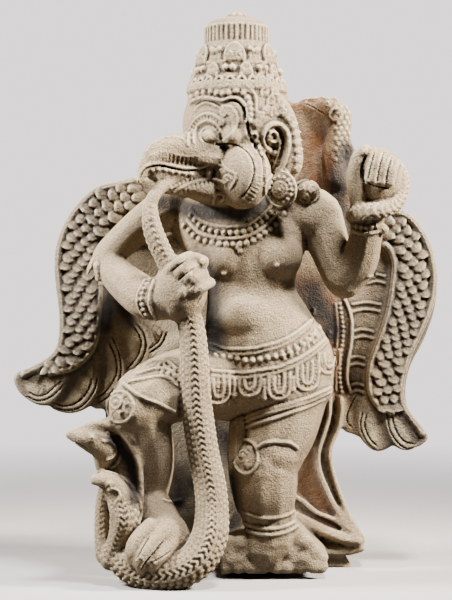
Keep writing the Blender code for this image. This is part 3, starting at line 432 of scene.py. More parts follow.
def head(clay):
    head_ball(clay, (0, 0, 4), (55, 43, 52))
    # upper beak, hooked down at the tip, and the lower one
    head_chain(clay, [(30, 0, -26, 24, 30, 24), (52, 0, -22, 18, 24, 18), (70, 0, -22, 16, 18, 15),
                      (86, 0, -26, 12, 13, 13), (97, 0, -34, 8, 9, 11), (104, 0, -44, 5, 6, 9),
                      (108, 0, -53, 3, 3, 5)])
    head_chain(clay, [(12, 0, -66, 24, 28, 16), (34, 0, -63, 16, 22, 12), (52, 0, -61, 12, 16, 8),
                      (66, 0, -62, 8, 10, 5), (76, 0, -64, 5, 5, 3)])
    # inside of the mouth, set back behind the lips
    head_chain(clay, [(20, 0, -50, 16, 20, 14), (50, 0, -45, 16, 13, 15), (74, 0, -44, 14, 7, 14),
                      (92, 0, -44, 8, 4, 10)])
    for side in (-1, 1):
        head_ball(clay, (6, 30 * side, -48), (30, 24, 34))
        head_ball(clay, (20, 33 * side, -8), (10, 8, 10))
        # hair from the brow down behind the ear
        head_chain(clay, [(-18, 34 * side, 26, 16, 12, 16), (-30, 34 * side, 2, 22, 14, 26),
                          (-40, 34 * side, -30, 19, 15, 26)])
        head_ball(clay, (-30, 46 * side, -61), (17, 8, 17))
    # a bunch of locks on the near shoulder
    ball(clay, (308, 192, 108), (12, 15, 11))


CROWN_AXIS = 236.7
CROWN_OUT = 104.0
# Profile of the crown, top to bottom: cells down at its outline, radius
CROWN = [(15, 0), (15.5, 6), (18, 10), (20, 18), (22.5, 26), (26, 30.5), (45, 31), (46.5, 33), (50, 35),
         (66, 39.5), (68, 41), (79, 43), (81, 45.5), (91, 48.5), (100, 49.5), (115, 49), (122, 30), (123, 0)]


def on_crown(height, turn, radius):
    """World place on the crown: height in cells above the ground, turn from the front, radius."""
    near = shrink(CROWN_OUT)
    return Vector(((CROWN_AXIS - MIDDLE + math.sin(turn) * radius) * near,
                   BACK - CROWN_OUT - math.cos(turn) * radius * near, height)) * CELL


def crown_height(down, radius=0.0):
    """Height that shows in cell down, on the crown's front at this radius, or at its outline."""
    return EYE + (LEVEL - down) * shrink(CROWN_OUT + radius)


def crown_radius(height):
    heights = [crown_height(down) for down, _ in reversed(CROWN)]
    return float(np.interp(height, heights, [radius for _, radius in reversed(CROWN)]))


def crown(clay):
    profile = bpy.data.meshes.new("profile")
    places = [(radius * shrink(CROWN_OUT) * CELL, 0, crown_height(down) * CELL) for down, radius in CROWN]
    profile.from_pydata(places, [(n, n + 1) for n in range(len(places) - 1)], [])
    turned = placed("turned", profile)
    turned.location = on_crown(0, 0, 0)
    spin = turned.modifiers.new("spin", "SCREW")
    spin.steps = 48
    spin.render_steps = 48
    spin.use_merge_vertices = True
    spin.merge_threshold = 0.0001
    clay.add_mesh_object(turned)
    bpy.data.objects.remove(turned)


def skin(clay, name, grain, passes):
    """One closed surface over all that the clay holds, as fine as the grain, in cells."""
    made = clay.make_object(name)
    fuse = made.modifiers.new("fuse", "REMESH")
    fuse.mode = "VOXEL"
    fuse.voxel_size = grain * CELL
    soften = made.modifiers.new("soften", "SMOOTH")
    soften.iterations = passes
    return made


def make_form():
    """The rough figure, before any carving."""
    clay = Clay()
    for form in (slab_and_wings, torso, right_arm, left_arm, legs, right_foot, nagas, base, head, crown):
        form(clay)
    return skin(clay, "form", FORM_GRAIN, 3)


class Surface:
    """The rough figure as its carver sees it, from the front."""

    def __init__(self, item):
        self.tree = BVHTree.FromObject(item, bpy.context.evaluated_depsgraph_get())
        self.eye = Vector((0, BACK - PLANE - VIEW, EYE)) * CELL

    def at(self, across, down):
        """Place and normal of the surface that shows in this cell."""
        place, normal, _, _ = self.tree.ray_cast(self.eye, seen(across, down, 0) - self.eye)
        if place is None:
            place, normal, _, _ = self.tree.find_nearest(seen(across, down, PLANE))
        return place, normal


def dome(clay, place, normal, along, half_wide, half_long, high, shape=None):
    """A low dome on the surface, its length along the given direction. Sizes in cells."""
    along = (along - normal * along.dot(normal)).normalized()
    axes = Matrix((along.cross(normal), along, normal)).transposed()
    lump(clay, place, axes @ Matrix.Diagonal((half_wide * CELL, half_long * CELL, high * CELL)), shape)


def arc(centre, radii, start, end, count=7):
    """Rows along an arc on the grid. Angles in degrees, from the right, anticlockwise as seen."""
    turns = np.radians(np.linspace(start, end, count))
    return [(centre[0] + radii[0] * math.cos(turn), centre[1] - radii[1] * math.sin(turn)) for turn in turns]


def spiral(centre, radius, start, turns, count=14):
    """Rows along a spiral that closes on its centre."""
    rows = []
    for t in np.linspace(0, 1, count):
        turn = math.radians(start) + math.tau * turns * t
        reach = radius * (1 - 0.85 * t)
        rows.append((centre[0] + reach * math.cos(turn), centre[1] - reach * math.sin(turn)))
    return rows


# Wing lines: the outer rim, the scale field's outer and inner edges, and the inner rim
LEFT_RIM = [(136, 181), (118, 185), (98, 191), (80, 206), (67, 226), (60, 245), (58, 263), (59, 283),
            (62, 305), (63, 328), (59, 350), (45, 364), (24, 374)]
LEFT_OUTER = [(134, 184), (100, 193), (84, 208), (70, 228), (64, 262), (67, 305), (67, 329), (64, 348),
              (44, 368)]
LEFT_INNER = [(142, 202), (125, 212), (108, 226), (97, 240), (93, 275), (94, 317), (91, 338), (70, 364),
              (50, 371)]
LEFT_INNER_RIM = [(97, 266), (100, 285), (99, 312), (96, 338), (87, 356), (70, 369), (50, 373)]
RIGHT_RIM = [(394, 211), (410, 219), (423, 236), (431, 257), (434, 282), (430, 306), (420, 331), (409, 354),
             (402, 378), (401, 398), (407, 414), (422, 433)]
RIGHT_OUTER = [(390, 217), (406, 224), (418, 240), (424, 259), (427, 286), (423, 311), (415, 334), (400, 375),
               (398, 404)]
RIGHT_INNER = [(378, 232), (391, 239), (400, 254), (400, 273), (396, 298), (391, 323), (382, 347), (375, 379),
               (383, 405)]
RIGHT_INNER_RIM = [(381, 241), (391, 251), (395, 266), (393, 286), (390, 307), (384, 328), (377, 347),
                   (371, 364), (369, 381), (372, 396), (380, 407), (392, 412)]


def crown_ring(clay, down, radius, thick):
    """A plain ring round the crown, in cell down at the front."""
    height = crown_height(down, radius)
    places = [on_crown(height, turn, radius) for turn in np.linspace(0, math.tau, 41)]
    bar(clay, places, [thick * CELL] * len(places), sides=1)


def crown_bead(clay, turn, down, radius, lift=1.0):
    height = crown_height(down, 38)
    place = on_crown(height, turn, crown_radius(height) + lift)
    lump(clay, place, Matrix.Diagonal([radius * CELL] * 3), BEAD)


CURL_BORDER = [(256, 124), (262, 113), (271, 109), (281, 112), (290, 120), (295, 131), (297, 143), (298, 156),
               (297, 169)]


def jewels(clay, surface):
    """Necklace, bracelets and anklets."""
    inner = [(191, 215), (199, 225), (208, 230), (223, 233), (238, 233), (250, 230), (262, 222), (270, 213)]
    outer = [(184, 226), (198, 239), (212, 243), (229, 245), (247, 243), (262, 235), (275, 225), (284, 214)]
    middle = [((a + c) / 2, (b + d) / 2) for (a, b), (c, d) in zip(inner, outer)]
    studs(clay, surface, inner, 6.6, 2.8)
    rib(clay, surface, middle, 1.8, 0.6)
    rib(clay, surface, shifted(inner, 0, -6), 1.6, 0.4)
    studs(clay, surface, outer, 6.8, 3.0)
    for *at, radius in ((238, 247, 3.6), (240, 251, 2.6), (224, 273, 2.4), (277, 265, 2.4)):
        boss(clay, surface, at, radius, radius, 2.6)
    studs(clay, surface, [(150, 280), (143, 292), (142, 304), (149, 319)], 5.6, 2.4)
    rib(clay, surface, [(145, 281), (138, 294), (138, 306), (144, 316)], 1.8, 0.5)
    rib(clay, surface, [(154, 281), (150, 294), (150, 306), (156, 320)], 1.8, 0.5)
    studs(clay, surface, [(352, 226), (366, 228), (381, 225)], 5.0, 2.4)
    rib(clay, surface, [(349, 231), (366, 234), (382, 231)], 1.7, 0.5)
    for down in (513, 524, 530):
        rib(clay, surface, [(244, down - 1), (258, down + 4), (272, down + 5), (286, down + 2),
                            (297, down - 4)], 1.9, 0.4)
    rib(clay, surface, [(163, 500), (170, 502), (181, 500)], 1.8, 0.4)


BELT_TOP = [(210, 345), (226, 349), (250, 349), (266, 346), (284, 340), (300, 330), (311, 320), (314, 310)]
BELT_BEADS = [(215, 356), (232, 358), (250, 361), (268, 358), (284, 355), (297, 349), (309, 340), (319, 329)]
BELT_LINE = [(212, 371), (242, 373), (258, 371), (276, 368), (292, 362), (308, 353), (322, 342), (330, 333)]
HEM_LINE = [(240, 425), (250, 416), (273, 408), (304, 399), (330, 388)]
HEM = [(233, 435), (250, 426), (273, 419), (304, 408), (324, 399)]
# Garlands under the belt: centre, top and bottom of each loop
GARLANDS = [(218, 376, 403), (250, 376, 396), (279, 374, 399), (307, 362, 390), (329, 350, 373)]


def belt(clay, surface):
    rib(clay, surface, BELT_TOP, 2.0, 0.6)
    rib(clay, surface, shifted(BELT_TOP, -1, 5), 1.5, 0.3)
    studs(clay, surface, BELT_BEADS, 7.4, 3.0)
    rib(clay, surface, BELT_LINE, 1.9, 0.5)
    rib(clay, surface, shifted(BELT_LINE, 0, 5), 1.5, 0.3)
    for across, top, bottom in GARLANDS:
        for spread in (10.5, 5.0):
            low = bottom - (10.5 - spread)
            rib(clay, surface, [(across - spread, top + 4), (across - spread, low - 8),
                                (across - spread * 0.6, low - 1), (across, low),
                                (across + spread * 0.6, low - 2), (across + spread, low - 9),
                                (across + spread, top)], 1.7, 0.4)
    for (first, top, _), (second, _, bottom) in zip(GARLANDS, GARLANDS[1:]):
        middle = (first + second) / 2
        rib(clay, surface, [(middle, top + 4), (middle, bottom - 4)], 1.6, 0.5)
        boss(clay, surface, (middle, bottom - 1), 2.8, 3.6, 2.6)
    for line in (HEM_LINE, shifted(HEM_LINE, 0, 4), HEM):
        rib(clay, surface, line, 1.9, 0.4)
    # folds of the cloth on the raised thigh
    for lower in (0, 8, 16):
        rib(clay, surface, [(145 - lower, 366 + lower), (156, 361 + lower), (168, 362 + lower),
                            (176, 369 + lower)], 1.9, 0.4)
    rib(clay, surface, [(124, 384), (134, 392), (146, 399), (160, 404), (174, 412)], 1.9, 0.5)
    medallions(clay, surface)
    rib(clay, surface, [(257, 448), (263, 444), (271, 442), (281, 442), (290, 443), (297, 448)], 2.2, 0.5)


def along_tube(stations, pitch):
    """Rows along a limb: place, heading, front, side and radius, the last in metres."""
    line = even_line(smooth_line(stations, 8), pitch)
    places = [seen(*row[:3]) for row in line]
    rows = []
    for n, row in enumerate(line):
        heading = (places[min(n + 1, len(line) - 1)] - places[max(n - 1, 0)]).normalized()
        front = Vector((0, -1, 0)) - heading * -heading.y
        front.normalize()
        rows.append((places[n], heading, front, heading.cross(front), row[3] * shrink(row[2]) * CELL))
    return rows


def bake(item):
    """Turn what the modifiers make of an object into its own mesh."""
    mesh = finished_mesh(item)
    item.modifiers.clear()
    item.data = mesh


# The farthest that a raised line climbs or drops from one place to the next, in cells
CLIMB = 9
# Which way the length of a small dome runs
UP = Vector((0, 0, 1))
LEANT = Vector((0, 0.1, 1))


def boss(clay, surface, at, half_wide, half_long, high, along=UP, shape=BEAD):
    """A low dome on the surface where it shows in this cell. Sizes in cells."""
    place, normal = surface.at(*at)
    dome(clay, place, normal, along, half_wide, half_long, high, shape)


def shifted(route, across, down):
    """A route moved over the grid."""
    return [(a + across, d + down) for a, d in route]


def rib(clay, surface, route, radius, lift=0.0, pitch=4.0):
    """A raised line over the surface, broken where one form stands clear of the next."""
    runs = [[]]
    last = None
    for across, down in even_line(smooth_line(route, 5), pitch):
        place, normal = surface.at(across, down)
        if last is not None and abs(place.y - last) > CLIMB * CELL:
            runs.append([])
        last = place.y
        runs[-1].append(place + normal * lift * CELL)
    for places in runs:
        if len(places) > 1:
            bar(clay, places, [radius * CELL] * len(places), sides=1)


def studs(clay, surface, route, pitch, radius):
    """A row of beads over the surface."""
    for at in even_line(smooth_line(route, 5), pitch):
        boss(clay, surface, at, radius, radius, radius, LEANT)


def hatching(clay, surface, upper, lower, pitch, radius=1.0):
    """Short strokes from one line to another."""
    top = smooth_line(upper, 6)
    count = max(2, round(np.linalg.norm(np.diff(top, axis=0), axis=1).sum() / pitch))
    at = np.linspace(0, 1, count)
    rows = []
    for line in (top, smooth_line(lower, 6)):
        share = np.linspace(0, 1, len(line))
        rows.append(np.stack([np.interp(at, share, column) for column in line.T], axis=1))
    for start, end in zip(*rows):
        rib(clay, surface, [tuple(start), tuple(end)], radius, 0.2, pitch=3)


FLUTES = 38
ARCH = [(187, 94), (197, 87), (207, 85), (215, 86), (222, 88), (229, 86), (236, 85), (245, 86.5), (252, 91),
        (256, 99), (256, 109), (257, 121)]
ARCH_BEADS = [(192, 98), (198, 94.5), (204, 93), (211, 92), (217, 93.5), (223, 94), (229, 93), (236, 91),
              (243, 93.5), (247.5, 98.5), (249.5, 104.5), (250.5, 110), (250.5, 115.5), (250, 121)]
LOWER_ARCH = [(191, 103), (196, 100), (203, 98), (211, 98.5), (222, 101), (230, 98.5), (238, 99), (244, 104),
              (246, 111), (247, 122)]
LIP = [(138.5, 180), (142, 171), (148, 165), (159, 163), (171, 166), (185, 168.5), (197, 168), (207, 165),
       (213, 160)]
JAW = [(171, 194), (181, 188), (193, 182.5), (206, 179.5), (216, 180), (225, 183)]


def crown_petal(clay, turn, down, half_wide, high):
    """An upright petal with a raised border and a second arch inside."""
    foot = crown_height(down, 47)
    for share, thick in ((1.0, 1.3), (0.5, 1.2)):
        places = []
        for t in np.linspace(0, math.pi, 9):
            height = foot + high * share * math.sin(t) ** 0.8
            radius = crown_radius(height) + 1.2
            places.append(on_crown(height, turn - half_wide * share * math.cos(t) / radius, radius))
        bar(clay, places, [thick * CELL] * len(places), sides=1)


def crown_frond(clay, turn, down, half_wide, high, lift):
    """A pointed leaf with a raised border and two curls in its foot."""
    foot = crown_height(down, 40)
    for share in np.linspace(0.08, 0.9, 8):
        height = foot + high * share
        spread = half_wide * (1 - share) ** 0.6 * (0.8 + 0.7 * share)
        place = on_crown(height, turn, crown_radius(height) + lift * 0.2)
        outward = Vector((math.sin(turn), -math.cos(turn), 0.1)).normalized()
        dome(clay, place, outward, Vector((0, 0, 1)), spread, high * 0.14, lift * 0.9, BEAD)
    border = []
    for t in np.linspace(-1, 1, 15):
        share = 1 - abs(t) ** 1.3
        height = foot + high * share
        radius = crown_radius(height) + lift * 0.75
        spread = half_wide * (1 - share) ** 0.6 * (0.8 + 0.7 * share) * (1 if t > 0 else -1)
        border.append(on_crown(height, turn + spread / radius, radius))
    bar(clay, border, [1.2 * CELL] * len(border), sides=1)
    for side in (-1, 1):
        height = foot + high * 0.27
        radius = crown_radius(height) + lift * 1.1
        centre = turn + side * half_wide * 0.42 / radius
        curl = []
        for t in np.linspace(0, 1, 9):
            angle = side * math.tau * 1.1 * t
            reach = half_wide * 0.36 * (1 - 0.8 * t)
            curl.append(on_crown(height + reach * math.sin(angle + 1.5),
                                 centre + reach * math.cos(angle + 1.5) / radius, radius))
        bar(clay, curl, [1.0 * CELL] * len(curl), sides=1)


def crown_carving(clay):
    """Rings, flutes, leaves, beads and petals, from the crown's top down."""
    for down, radius, thick in ((23.5, 30.5, 1.7), (42.5, 31.3, 2.4), (61.5, 39.8, 1.7), (86.5, 49, 1.6)):
        crown_ring(clay, down, radius, thick)
    for n in range(FLUTES):
        turn = math.tau * n / FLUTES
        places = [on_crown(crown_height(down, 31), turn, 31) for down in (25, 32, 40)]
        bar(clay, places, [1.6 * CELL] * 3, sides=1)
    for n in range(6):
        turn = math.tau * n / 6 - 0.06
        crown_frond(clay, turn, 60.5, 12, 18, 3.0)
        for side in (-1, 1):
            for down, step, radius in ((48.5, 0.41, 3.0), (50.0, 0.58, 3.0)):
                crown_bead(clay, turn + side * step, down, radius, 1.4)
                foot = [on_crown(crown_height(low, 38), turn + side * step * 0.97,
                                 crown_radius(crown_height(low, 38)) + 0.8) for low in (52, 59)]
                bar(clay, foot, [1.3 * CELL, 1.0 * CELL], sides=1)
    for n in range(8):
        turn = math.tau * n / 8 + 0.21
        crown_frond(clay, turn, 75, 6.8, 11.5, 2.2)
        for step in (-0.085, 0.085):
            crown_bead(clay, turn + math.tau / 16 + step, 68, 3.4, 1.6)
    for n in range(27):
        crown_petal(clay, math.tau * n / 27 + 0.09, 86, 4.6, 9.5)
    # a small open flower on the top
    for n in range(8):
        turn = math.tau * (n + 0.5) / 8
        petal = Matrix.Diagonal([3.4 * CELL, 3.4 * CELL, 2.8 * CELL])
        lump(clay, on_crown(crown_height(17), turn, 7.5), petal, BEAD)
    middle = Matrix.Diagonal([4.0 * CELL, 4.0 * CELL, 3.2 * CELL])
    lump(clay, on_crown(crown_height(15), 0, 0), middle, BEAD)


def face(clay, surface):
    boss(clay, surface, (209.3, 137), 7.4, 7.4, 7.0, shape=SPHERE)
    rib(clay, surface, arc((209.3, 137), (9.2, 9.4), -30, 215, 13), 1.2, 0.6)
    # the brow: two arcs with strokes between them, and a plain arc above
    rib(clay, surface, arc((208, 140), (14.5, 19), 25, 190, 11), 1.2, 0.6)
    rib(clay, surface, arc((208, 141), (20, 27), 55, 190, 11), 1.3, 0.6)
    hatching(clay, surface, arc((208, 140.5), (18.5, 25), 60, 175, 11),
             arc((208, 140), (15.8, 20.5), 60, 175, 11), 3.4, 0.9)
    rib(clay, surface, arc((207, 138), (17.5, 36), 60, 130, 9), 1.5, 0.2)
    # the diadem's double arch, with beads between its two rims
    rib(clay, surface, ARCH, 1.5, 0.8)
    rib(clay, surface, shifted(ARCH[1:-3], 0, 3.2), 1.0, 0.6)
    for at in ARCH_BEADS:
        boss(clay, surface, at, 2.9, 3.3, 3.0, LEANT)
    rib(clay, surface, LOWER_ARCH, 1.6, 1.0)
    # the ribbon that curls behind the eye
    for inset, thick in ((0.0, 1.3), (3.2, 1.0), (6.0, 1.0)):
        rib(clay, surface, [(219 + inset, 144), (228 + inset * 0.7, 137), (236 - inset * 0.5, 127),
                            (237 - inset, 116), (231 - inset * 0.7, 107.5 + inset * 0.8),
                            (223 - inset * 0.2, 107 + inset * 0.6)], thick, 0.5)
    for centre, radius, start, turns in (((224.5, 113.5), 4.6, 100, 1.4), ((221, 123), 3.8, 80, -1.3)):
        rib(clay, surface, spiral(centre, radius, start, turns, 12), 1.1, 0.6)
    # crest of the beak, and the band of strokes along it
    rib(clay, surface, [(187, 143), (181, 138.5), (172, 137), (162, 139), (153, 144), (146, 152)], 1.3, 0.1)
    hatching(clay, surface,
             [(152, 157), (158, 153.5), (168, 154), (182, 158), (195, 158), (208, 154), (216, 151)],
             [(150, 162.5), (158, 160), (168, 161), (181, 164.5), (195, 165), (206, 162), (213, 157)],
             3.3, 0.9)
    rib(clay, surface, [(150, 156), (158, 152), (168, 152), (182, 156), (195, 156), (208, 152), (218, 148)],
        0.9, 0.1)
    rib(clay, surface, LIP, 1.8, 0.6)
    for at in ((152, 170), (158, 169.3), (165, 170.3), (171.5, 171.8), (178, 172.5), (184.5, 173.5),
               (191, 174.5)):
        boss(clay, surface, at, 2.6, 2.2, 2.6)
    boss(clay, surface, (208.7, 173), 3.6, 8.0, 4.0, shape=SPHERE)
    # the lower jaw's edge, with strokes under it
    rib(clay, surface, JAW, 1.5, 0.4)
    hatching(clay, surface, shifted(JAW[1:], 0, 2.5), shifted(JAW[1:], 1, 7), 3.6, 0.9)
    studs(clay, surface, [(171, 188), (180, 184), (191, 178.5)], 4.4, 1.7)
    # scrolls on the cheek
    for centre, radius, start, turns in (((222, 170.5), 5.6, 180, -1.4), ((227, 180), 5.0, 20, 1.3),
                                         ((218.5, 187), 3.6, 90, -1.2)):
        rib(clay, surface, spiral(centre, radius, start, turns, 12), 1.05, 0.3)
    rib(clay, surface, [(222, 161), (225, 167), (229, 171), (235.5, 173.5), (235, 181), (230, 189)], 1.2, 0.3)
    rib(clay, surface, [(213.5, 204), (214, 198), (218, 194), (223, 194.5), (224.5, 198.5), (221, 201.5)],
        1.4, 0.3)
    hatching(clay, surface, [(257, 176), (255, 184), (251, 192), (245, 199)],
             [(261, 177), (259.5, 186), (255.5, 195), (249, 203)], 3.4, 0.9)


def ear(clay, surface):
    rib(clay, surface, [(275, 153), (267, 149), (263.5, 142), (263.5, 134), (266, 127.5), (273, 124),
                        (281, 126), (287, 133), (288.5, 144), (286.5, 155), (283, 165), (281, 170)], 2.8, 1.2)
    rib(clay, surface, [(268.5, 136), (270, 131.5), (275, 132.5), (277, 138), (274.5, 142), (271, 141.5)],
        1.7, 1.4)
    rib(clay, surface, [(278, 138), (280.5, 146), (279, 156), (276, 163)], 1.3, 0.6)
    # scrolls of hair round the ear
    for at in even_line(smooth_line(CURL_BORDER, 6), 9.0):
        boss(clay, surface, at, 4.6, 4.6, 2.0)
        rib(clay, surface, spiral(at, 4.0, 30, 1.2, 9), 1.05, 1.3)
    for at in even_line([(254, 137), (257, 148), (263, 157), (272, 164)], 7.5):
        rib(clay, surface, arc(at, (3.6, 4.2), -60, 200, 8), 1.3, 0.8)
    # the round pendant under the ear
    centre = (280, 190)
    rib(clay, surface, arc(centre, (15.5, 17.5), 0, 360, 20), 1.8, 0.4)
    studs(clay, surface, arc(centre, (11.2, 12.8), 0, 360, 17), 5.2, 2.0)
    rib(clay, surface, arc(centre, (7.2, 7.6), 0, 360, 14), 1.2, 0.4)
    rib(clay, surface, arc(centre, (4.4, 4.6), 0, 360, 11), 1.0, 0.7)
    boss(clay, surface, centre, 2.6, 2.6, 2.4, shape=SPHERE)
    for side in (-1, 1):
        rib(clay, surface, [(281, 167), (281 + side * 5, 171), (281 + side * 9, 177)], 1.4, 0.5)
    # locks on the shoulder
    for *at, start in ((302, 187, 90), (312, 190, 20), (306, 198, 200)):
        rib(clay, surface, spiral(at, 5.5, start, 1.3, 10), 1.2, 0.5)
    rib(clay, surface, arc((306, 192), (13, 11), -100, 100, 12), 1.3, 0.4)
    # leaf clusters up the side of the crown
    for across, down in ((264, 70), (261, 80), (271, 82), (266, 92), (277, 93), (272, 102), (282, 105),
                         (276, 112)):
        boss(clay, surface, (across, down), 3.4, 6.4, 1.6, Vector((0.5, 0, 1)))
        rib(clay, surface, [(across - 5, down + 4), (across - 4.5, down - 2), (across + 1, down - 7),
                            (across + 5.5, down - 6), (across + 6, down - 1)], 1.1, 0.9)
        rib(clay, surface, spiral((across + 1, down + 1), 3.0, 200, 1.1, 8), 1.0, 1.3)


def fine_belt(clay, surface):
    hatching(clay, surface, [(282, 352), (297, 345), (309, 336), (319, 326)],
             [(284, 359), (299, 353), (312, 344), (322, 334)], 6.0, 1.6)
    for across, top, bottom in GARLANDS:
        studs(clay, surface, [(across, top + 3), (across, bottom - 8)], 3.6, 1.3)
        for side in (-1, 1):
            studs(clay, surface, [(across + side * 7.7, top + 3), (across + side * 7.7, bottom - 12),
                                  (across + side * 4, bottom - 4)], 3.4, 1.1)
    hatching(clay, surface, [(242, 427), (252, 418), (275, 410), (306, 401), (330, 391)],
             [(243, 429), (253, 421), (275, 413), (306, 404), (330, 394)], 4.4, 0.8)


def medallions(clay, surface):
    """The round jewels on both legs."""
    rib(clay, surface, arc((120.3, 407), (13.4, 15.5), 0, 360, 20), 1.5, 0.5)
    rib(clay, surface, arc((116, 402), (5.6, 6.2), 0, 360, 12), 1.1, 0.4)
    for at in ((126, 399), (128, 407.5), (123.5, 415), (115, 414.5)):
        rib(clay, surface, arc(at, (4.3, 4.3), 20, 250, 8), 1.0, 0.3)
    rib(clay, surface, arc((246, 457), (12, 17), 0, 360, 22), 1.5, 0.5)
    for centre, radius, start, turns in (((243, 455), 5.0, 20, 1.4), ((250, 450), 4.0, 200, -1.2),
                                         ((249, 465), 4.4, 120, 1.1)):
        rib(clay, surface, spiral(centre, radius, start, turns, 12), 1.05, 0.4)
    for at in ((116, 402), (243, 455)):
        boss(clay, surface, at, 2.0, 2.0, 2.0)
    # gathered cloth on the raised thigh
    for across, down in ((159, 365), (164, 369), (169, 373), (174, 377)):
        rib(clay, surface, [(across - 3, down + 5), (across, down), (across + 4, down - 3),
                            (across + 6, down + 1), (across + 3, down + 5)], 1.2, 0.4)


def fine_hands(clay, surface):
    """Nails of the thumbs and of two toes."""
    for at in ((202, 262), (365, 152)):
        boss(clay, surface, at, 3.0, 3.8, 1.5, Vector((0.6, 0, 1)))
    for at in ((139.8, 561), (151.5, 564)):
        rib(clay, surface, arc(at, (3.6, 3.8), 10, 170, 7), 1.0, 0.3)


def feather_rows(clay, surface, outer, inner, pitch):
    """Flat scales that overlap like tiles, in rows from a wing's outer edge to its inner one."""
    outer_line = even_line(smooth_line(outer, 8), pitch * 0.84)
    inner_line = smooth_line(inner, 8)
    inner_length = np.linalg.norm(np.diff(inner_line, axis=0), axis=1).sum()
    inner_line = even_line(inner_line, inner_length / (len(outer_line) - 1))
    for row, (start, end) in enumerate(zip(outer_line, inner_line)):
        width = np.linalg.norm(end - start)
        fit = max(1, round(width / pitch))
        heading = outer_line[min(row + 1, len(outer_line) - 1)] - outer_line[max(row - 1, 0)]
        along = Vector((heading[0], 0, -heading[1])).normalized()
        shift = 0.5 if row % 2 else 0.0
        for n in range(fit + (row % 2)):
            across, down = start + (end - start) * min(max((n + 0.5 - shift) / fit, 0.06), 0.94)
            place, normal = surface.at(across, down)
            lifted = (normal * 0.9 + along * -0.44).normalized()
            half = width / fit * 0.58
            dome(clay, place + normal * 1.1 * CELL, lifted, along, half, pitch * 0.80, 2.2, BEAD)
            dome(clay, place + (normal * 2.6 + along * pitch * 0.1) * CELL, lifted, along, half * 0.5,
                 pitch * 0.36, 1.6, BEAD)


def wings(clay, surface):
    for rim, radius in ((LEFT_RIM, 4.2), (RIGHT_RIM, 4.2), (LEFT_INNER_RIM, 3.8), (RIGHT_INNER_RIM, 3.8)):
        rib(clay, surface, rim, radius, 0.5, pitch=6)
    feather_rows(clay, surface, LEFT_OUTER, LEFT_INNER, 12.4)
    feather_rows(clay, surface, RIGHT_OUTER, RIGHT_INNER, 11.8)
    # cross bands of the short feathers by the raised arm, and the beaded ribbon beside them
    for left, right, down in ((368, 385, 279), (353, 380, 307), (353, 373, 334), (349, 364, 361),
                              (350, 364, 388)):
        for step in (-3.5, 3.5):
            rib(clay, surface, [(left, down + step + 1), ((left + right) / 2, down + step - 1),
                                (right, down + step + 1)], 1.4, 0.5)
    rib(clay, surface, [(345, 300), (350, 312), (352, 326), (351, 345), (348, 361), (347, 380), (351, 392)],
        1.9, 1.0)
    studs(clay, surface, [(340, 304), (342, 318), (343, 331), (342, 345), (340, 361), (340, 380), (342, 392)],
          4.6, 2.0)
    rib(clay, surface, [(336, 304), (337.5, 331), (336, 361), (336, 390)], 1.2, 0.4)


def scaly(clay, stations, pitch, sides=(-1, 1), low=0.07):
    """A naga's skin: chevrons down its front between two thin lines, and overlapping scales at both sides."""
    rows = along_tube(stations, pitch)
    for place, heading, front, side, radius in rows:
        for hand in sides:
            ridge = [place + front * radius - heading * radius * 0.10,
                     place + (front * 0.98 + side * hand * 0.20) * radius + heading * radius * 0.12]
            bar(clay, ridge, [radius * 0.07] * 2, sides=1)
            for column, turn in enumerate((0.52, 0.84, 1.16)):
                outward = (front * math.cos(turn) + side * hand * math.sin(turn)).normalized()
                shift = heading * pitch * CELL * (0.5 if column == 1 else 0)
                tilted = (outward * 0.96 - heading * 0.28).normalized()
                dome(clay, place + outward * radius * 0.97 + shift, tilted, heading, radius * 0.17 / CELL,
                     pitch * 0.58, radius * low / CELL, BEAD)
    for hand in sides:
        line = [place + (front * 0.95 + side * hand * 0.31) * radius
                for place, _, front, side, radius in rows]
        bar(clay, line, [row[4] * 0.06 for row in rows], sides=1)


def naga_carving(clay, surface):
    scaly(clay, NAGA[3:], 6.4)
    scaly(clay, TAIL, 5.4)
    scaly(clay, LOWER_NECK[:5], 5.6, low=0.05)
    scaly(clay, HIND_NECK, 6.0, low=0.05)
    for centre, radius in (((92, 437.3), 4.0), ((109, 483.6), 3.2), ((328, 103), 3.6)):
        boss(clay, surface, centre, radius * 0.7, radius * 0.7, radius * 0.8)
        rib(clay, surface, arc(centre, (radius, radius), 0, 360, 11), 0.95, 0.4)
    rib(clay, surface, arc((105, 450), (10, 9), 100, -80, 9), 1.9, 0.6)
    rib(clay, surface, [(107, 432.5), (115, 438), (120, 446), (121, 455), (117, 464), (111, 468)], 1.0, 0.4)
    rib(clay, surface, [(109, 490), (114, 488.5), (119, 492), (120, 497), (116, 502)], 1.4, 0.6)
    rib(clay, surface, [(91, 475), (97, 472), (107, 472.5), (119, 476.5), (129, 483.5), (135.5, 493.5),
                        (140, 503), (141, 514), (138, 523)], 1.7, 0.4)
    # the naga behind the raised arm
    rib(clay, surface, arc((336, 115), (6, 6), 0, 360, 12), 1.5, 0.6)
    rib(clay, surface, [(305, 100), (314, 99), (322, 98), (330, 97.5), (338, 101)], 1.5, 0.4)
    for row, down in enumerate(np.arange(108, 165, 5.2)):
        for across in np.arange(336 + 2.6 * (row % 2), 351 - max(0, (down - 140) * 0.35), 5.2):
            boss(clay, surface, (across, down), 2.5, 2.9, 1.7)


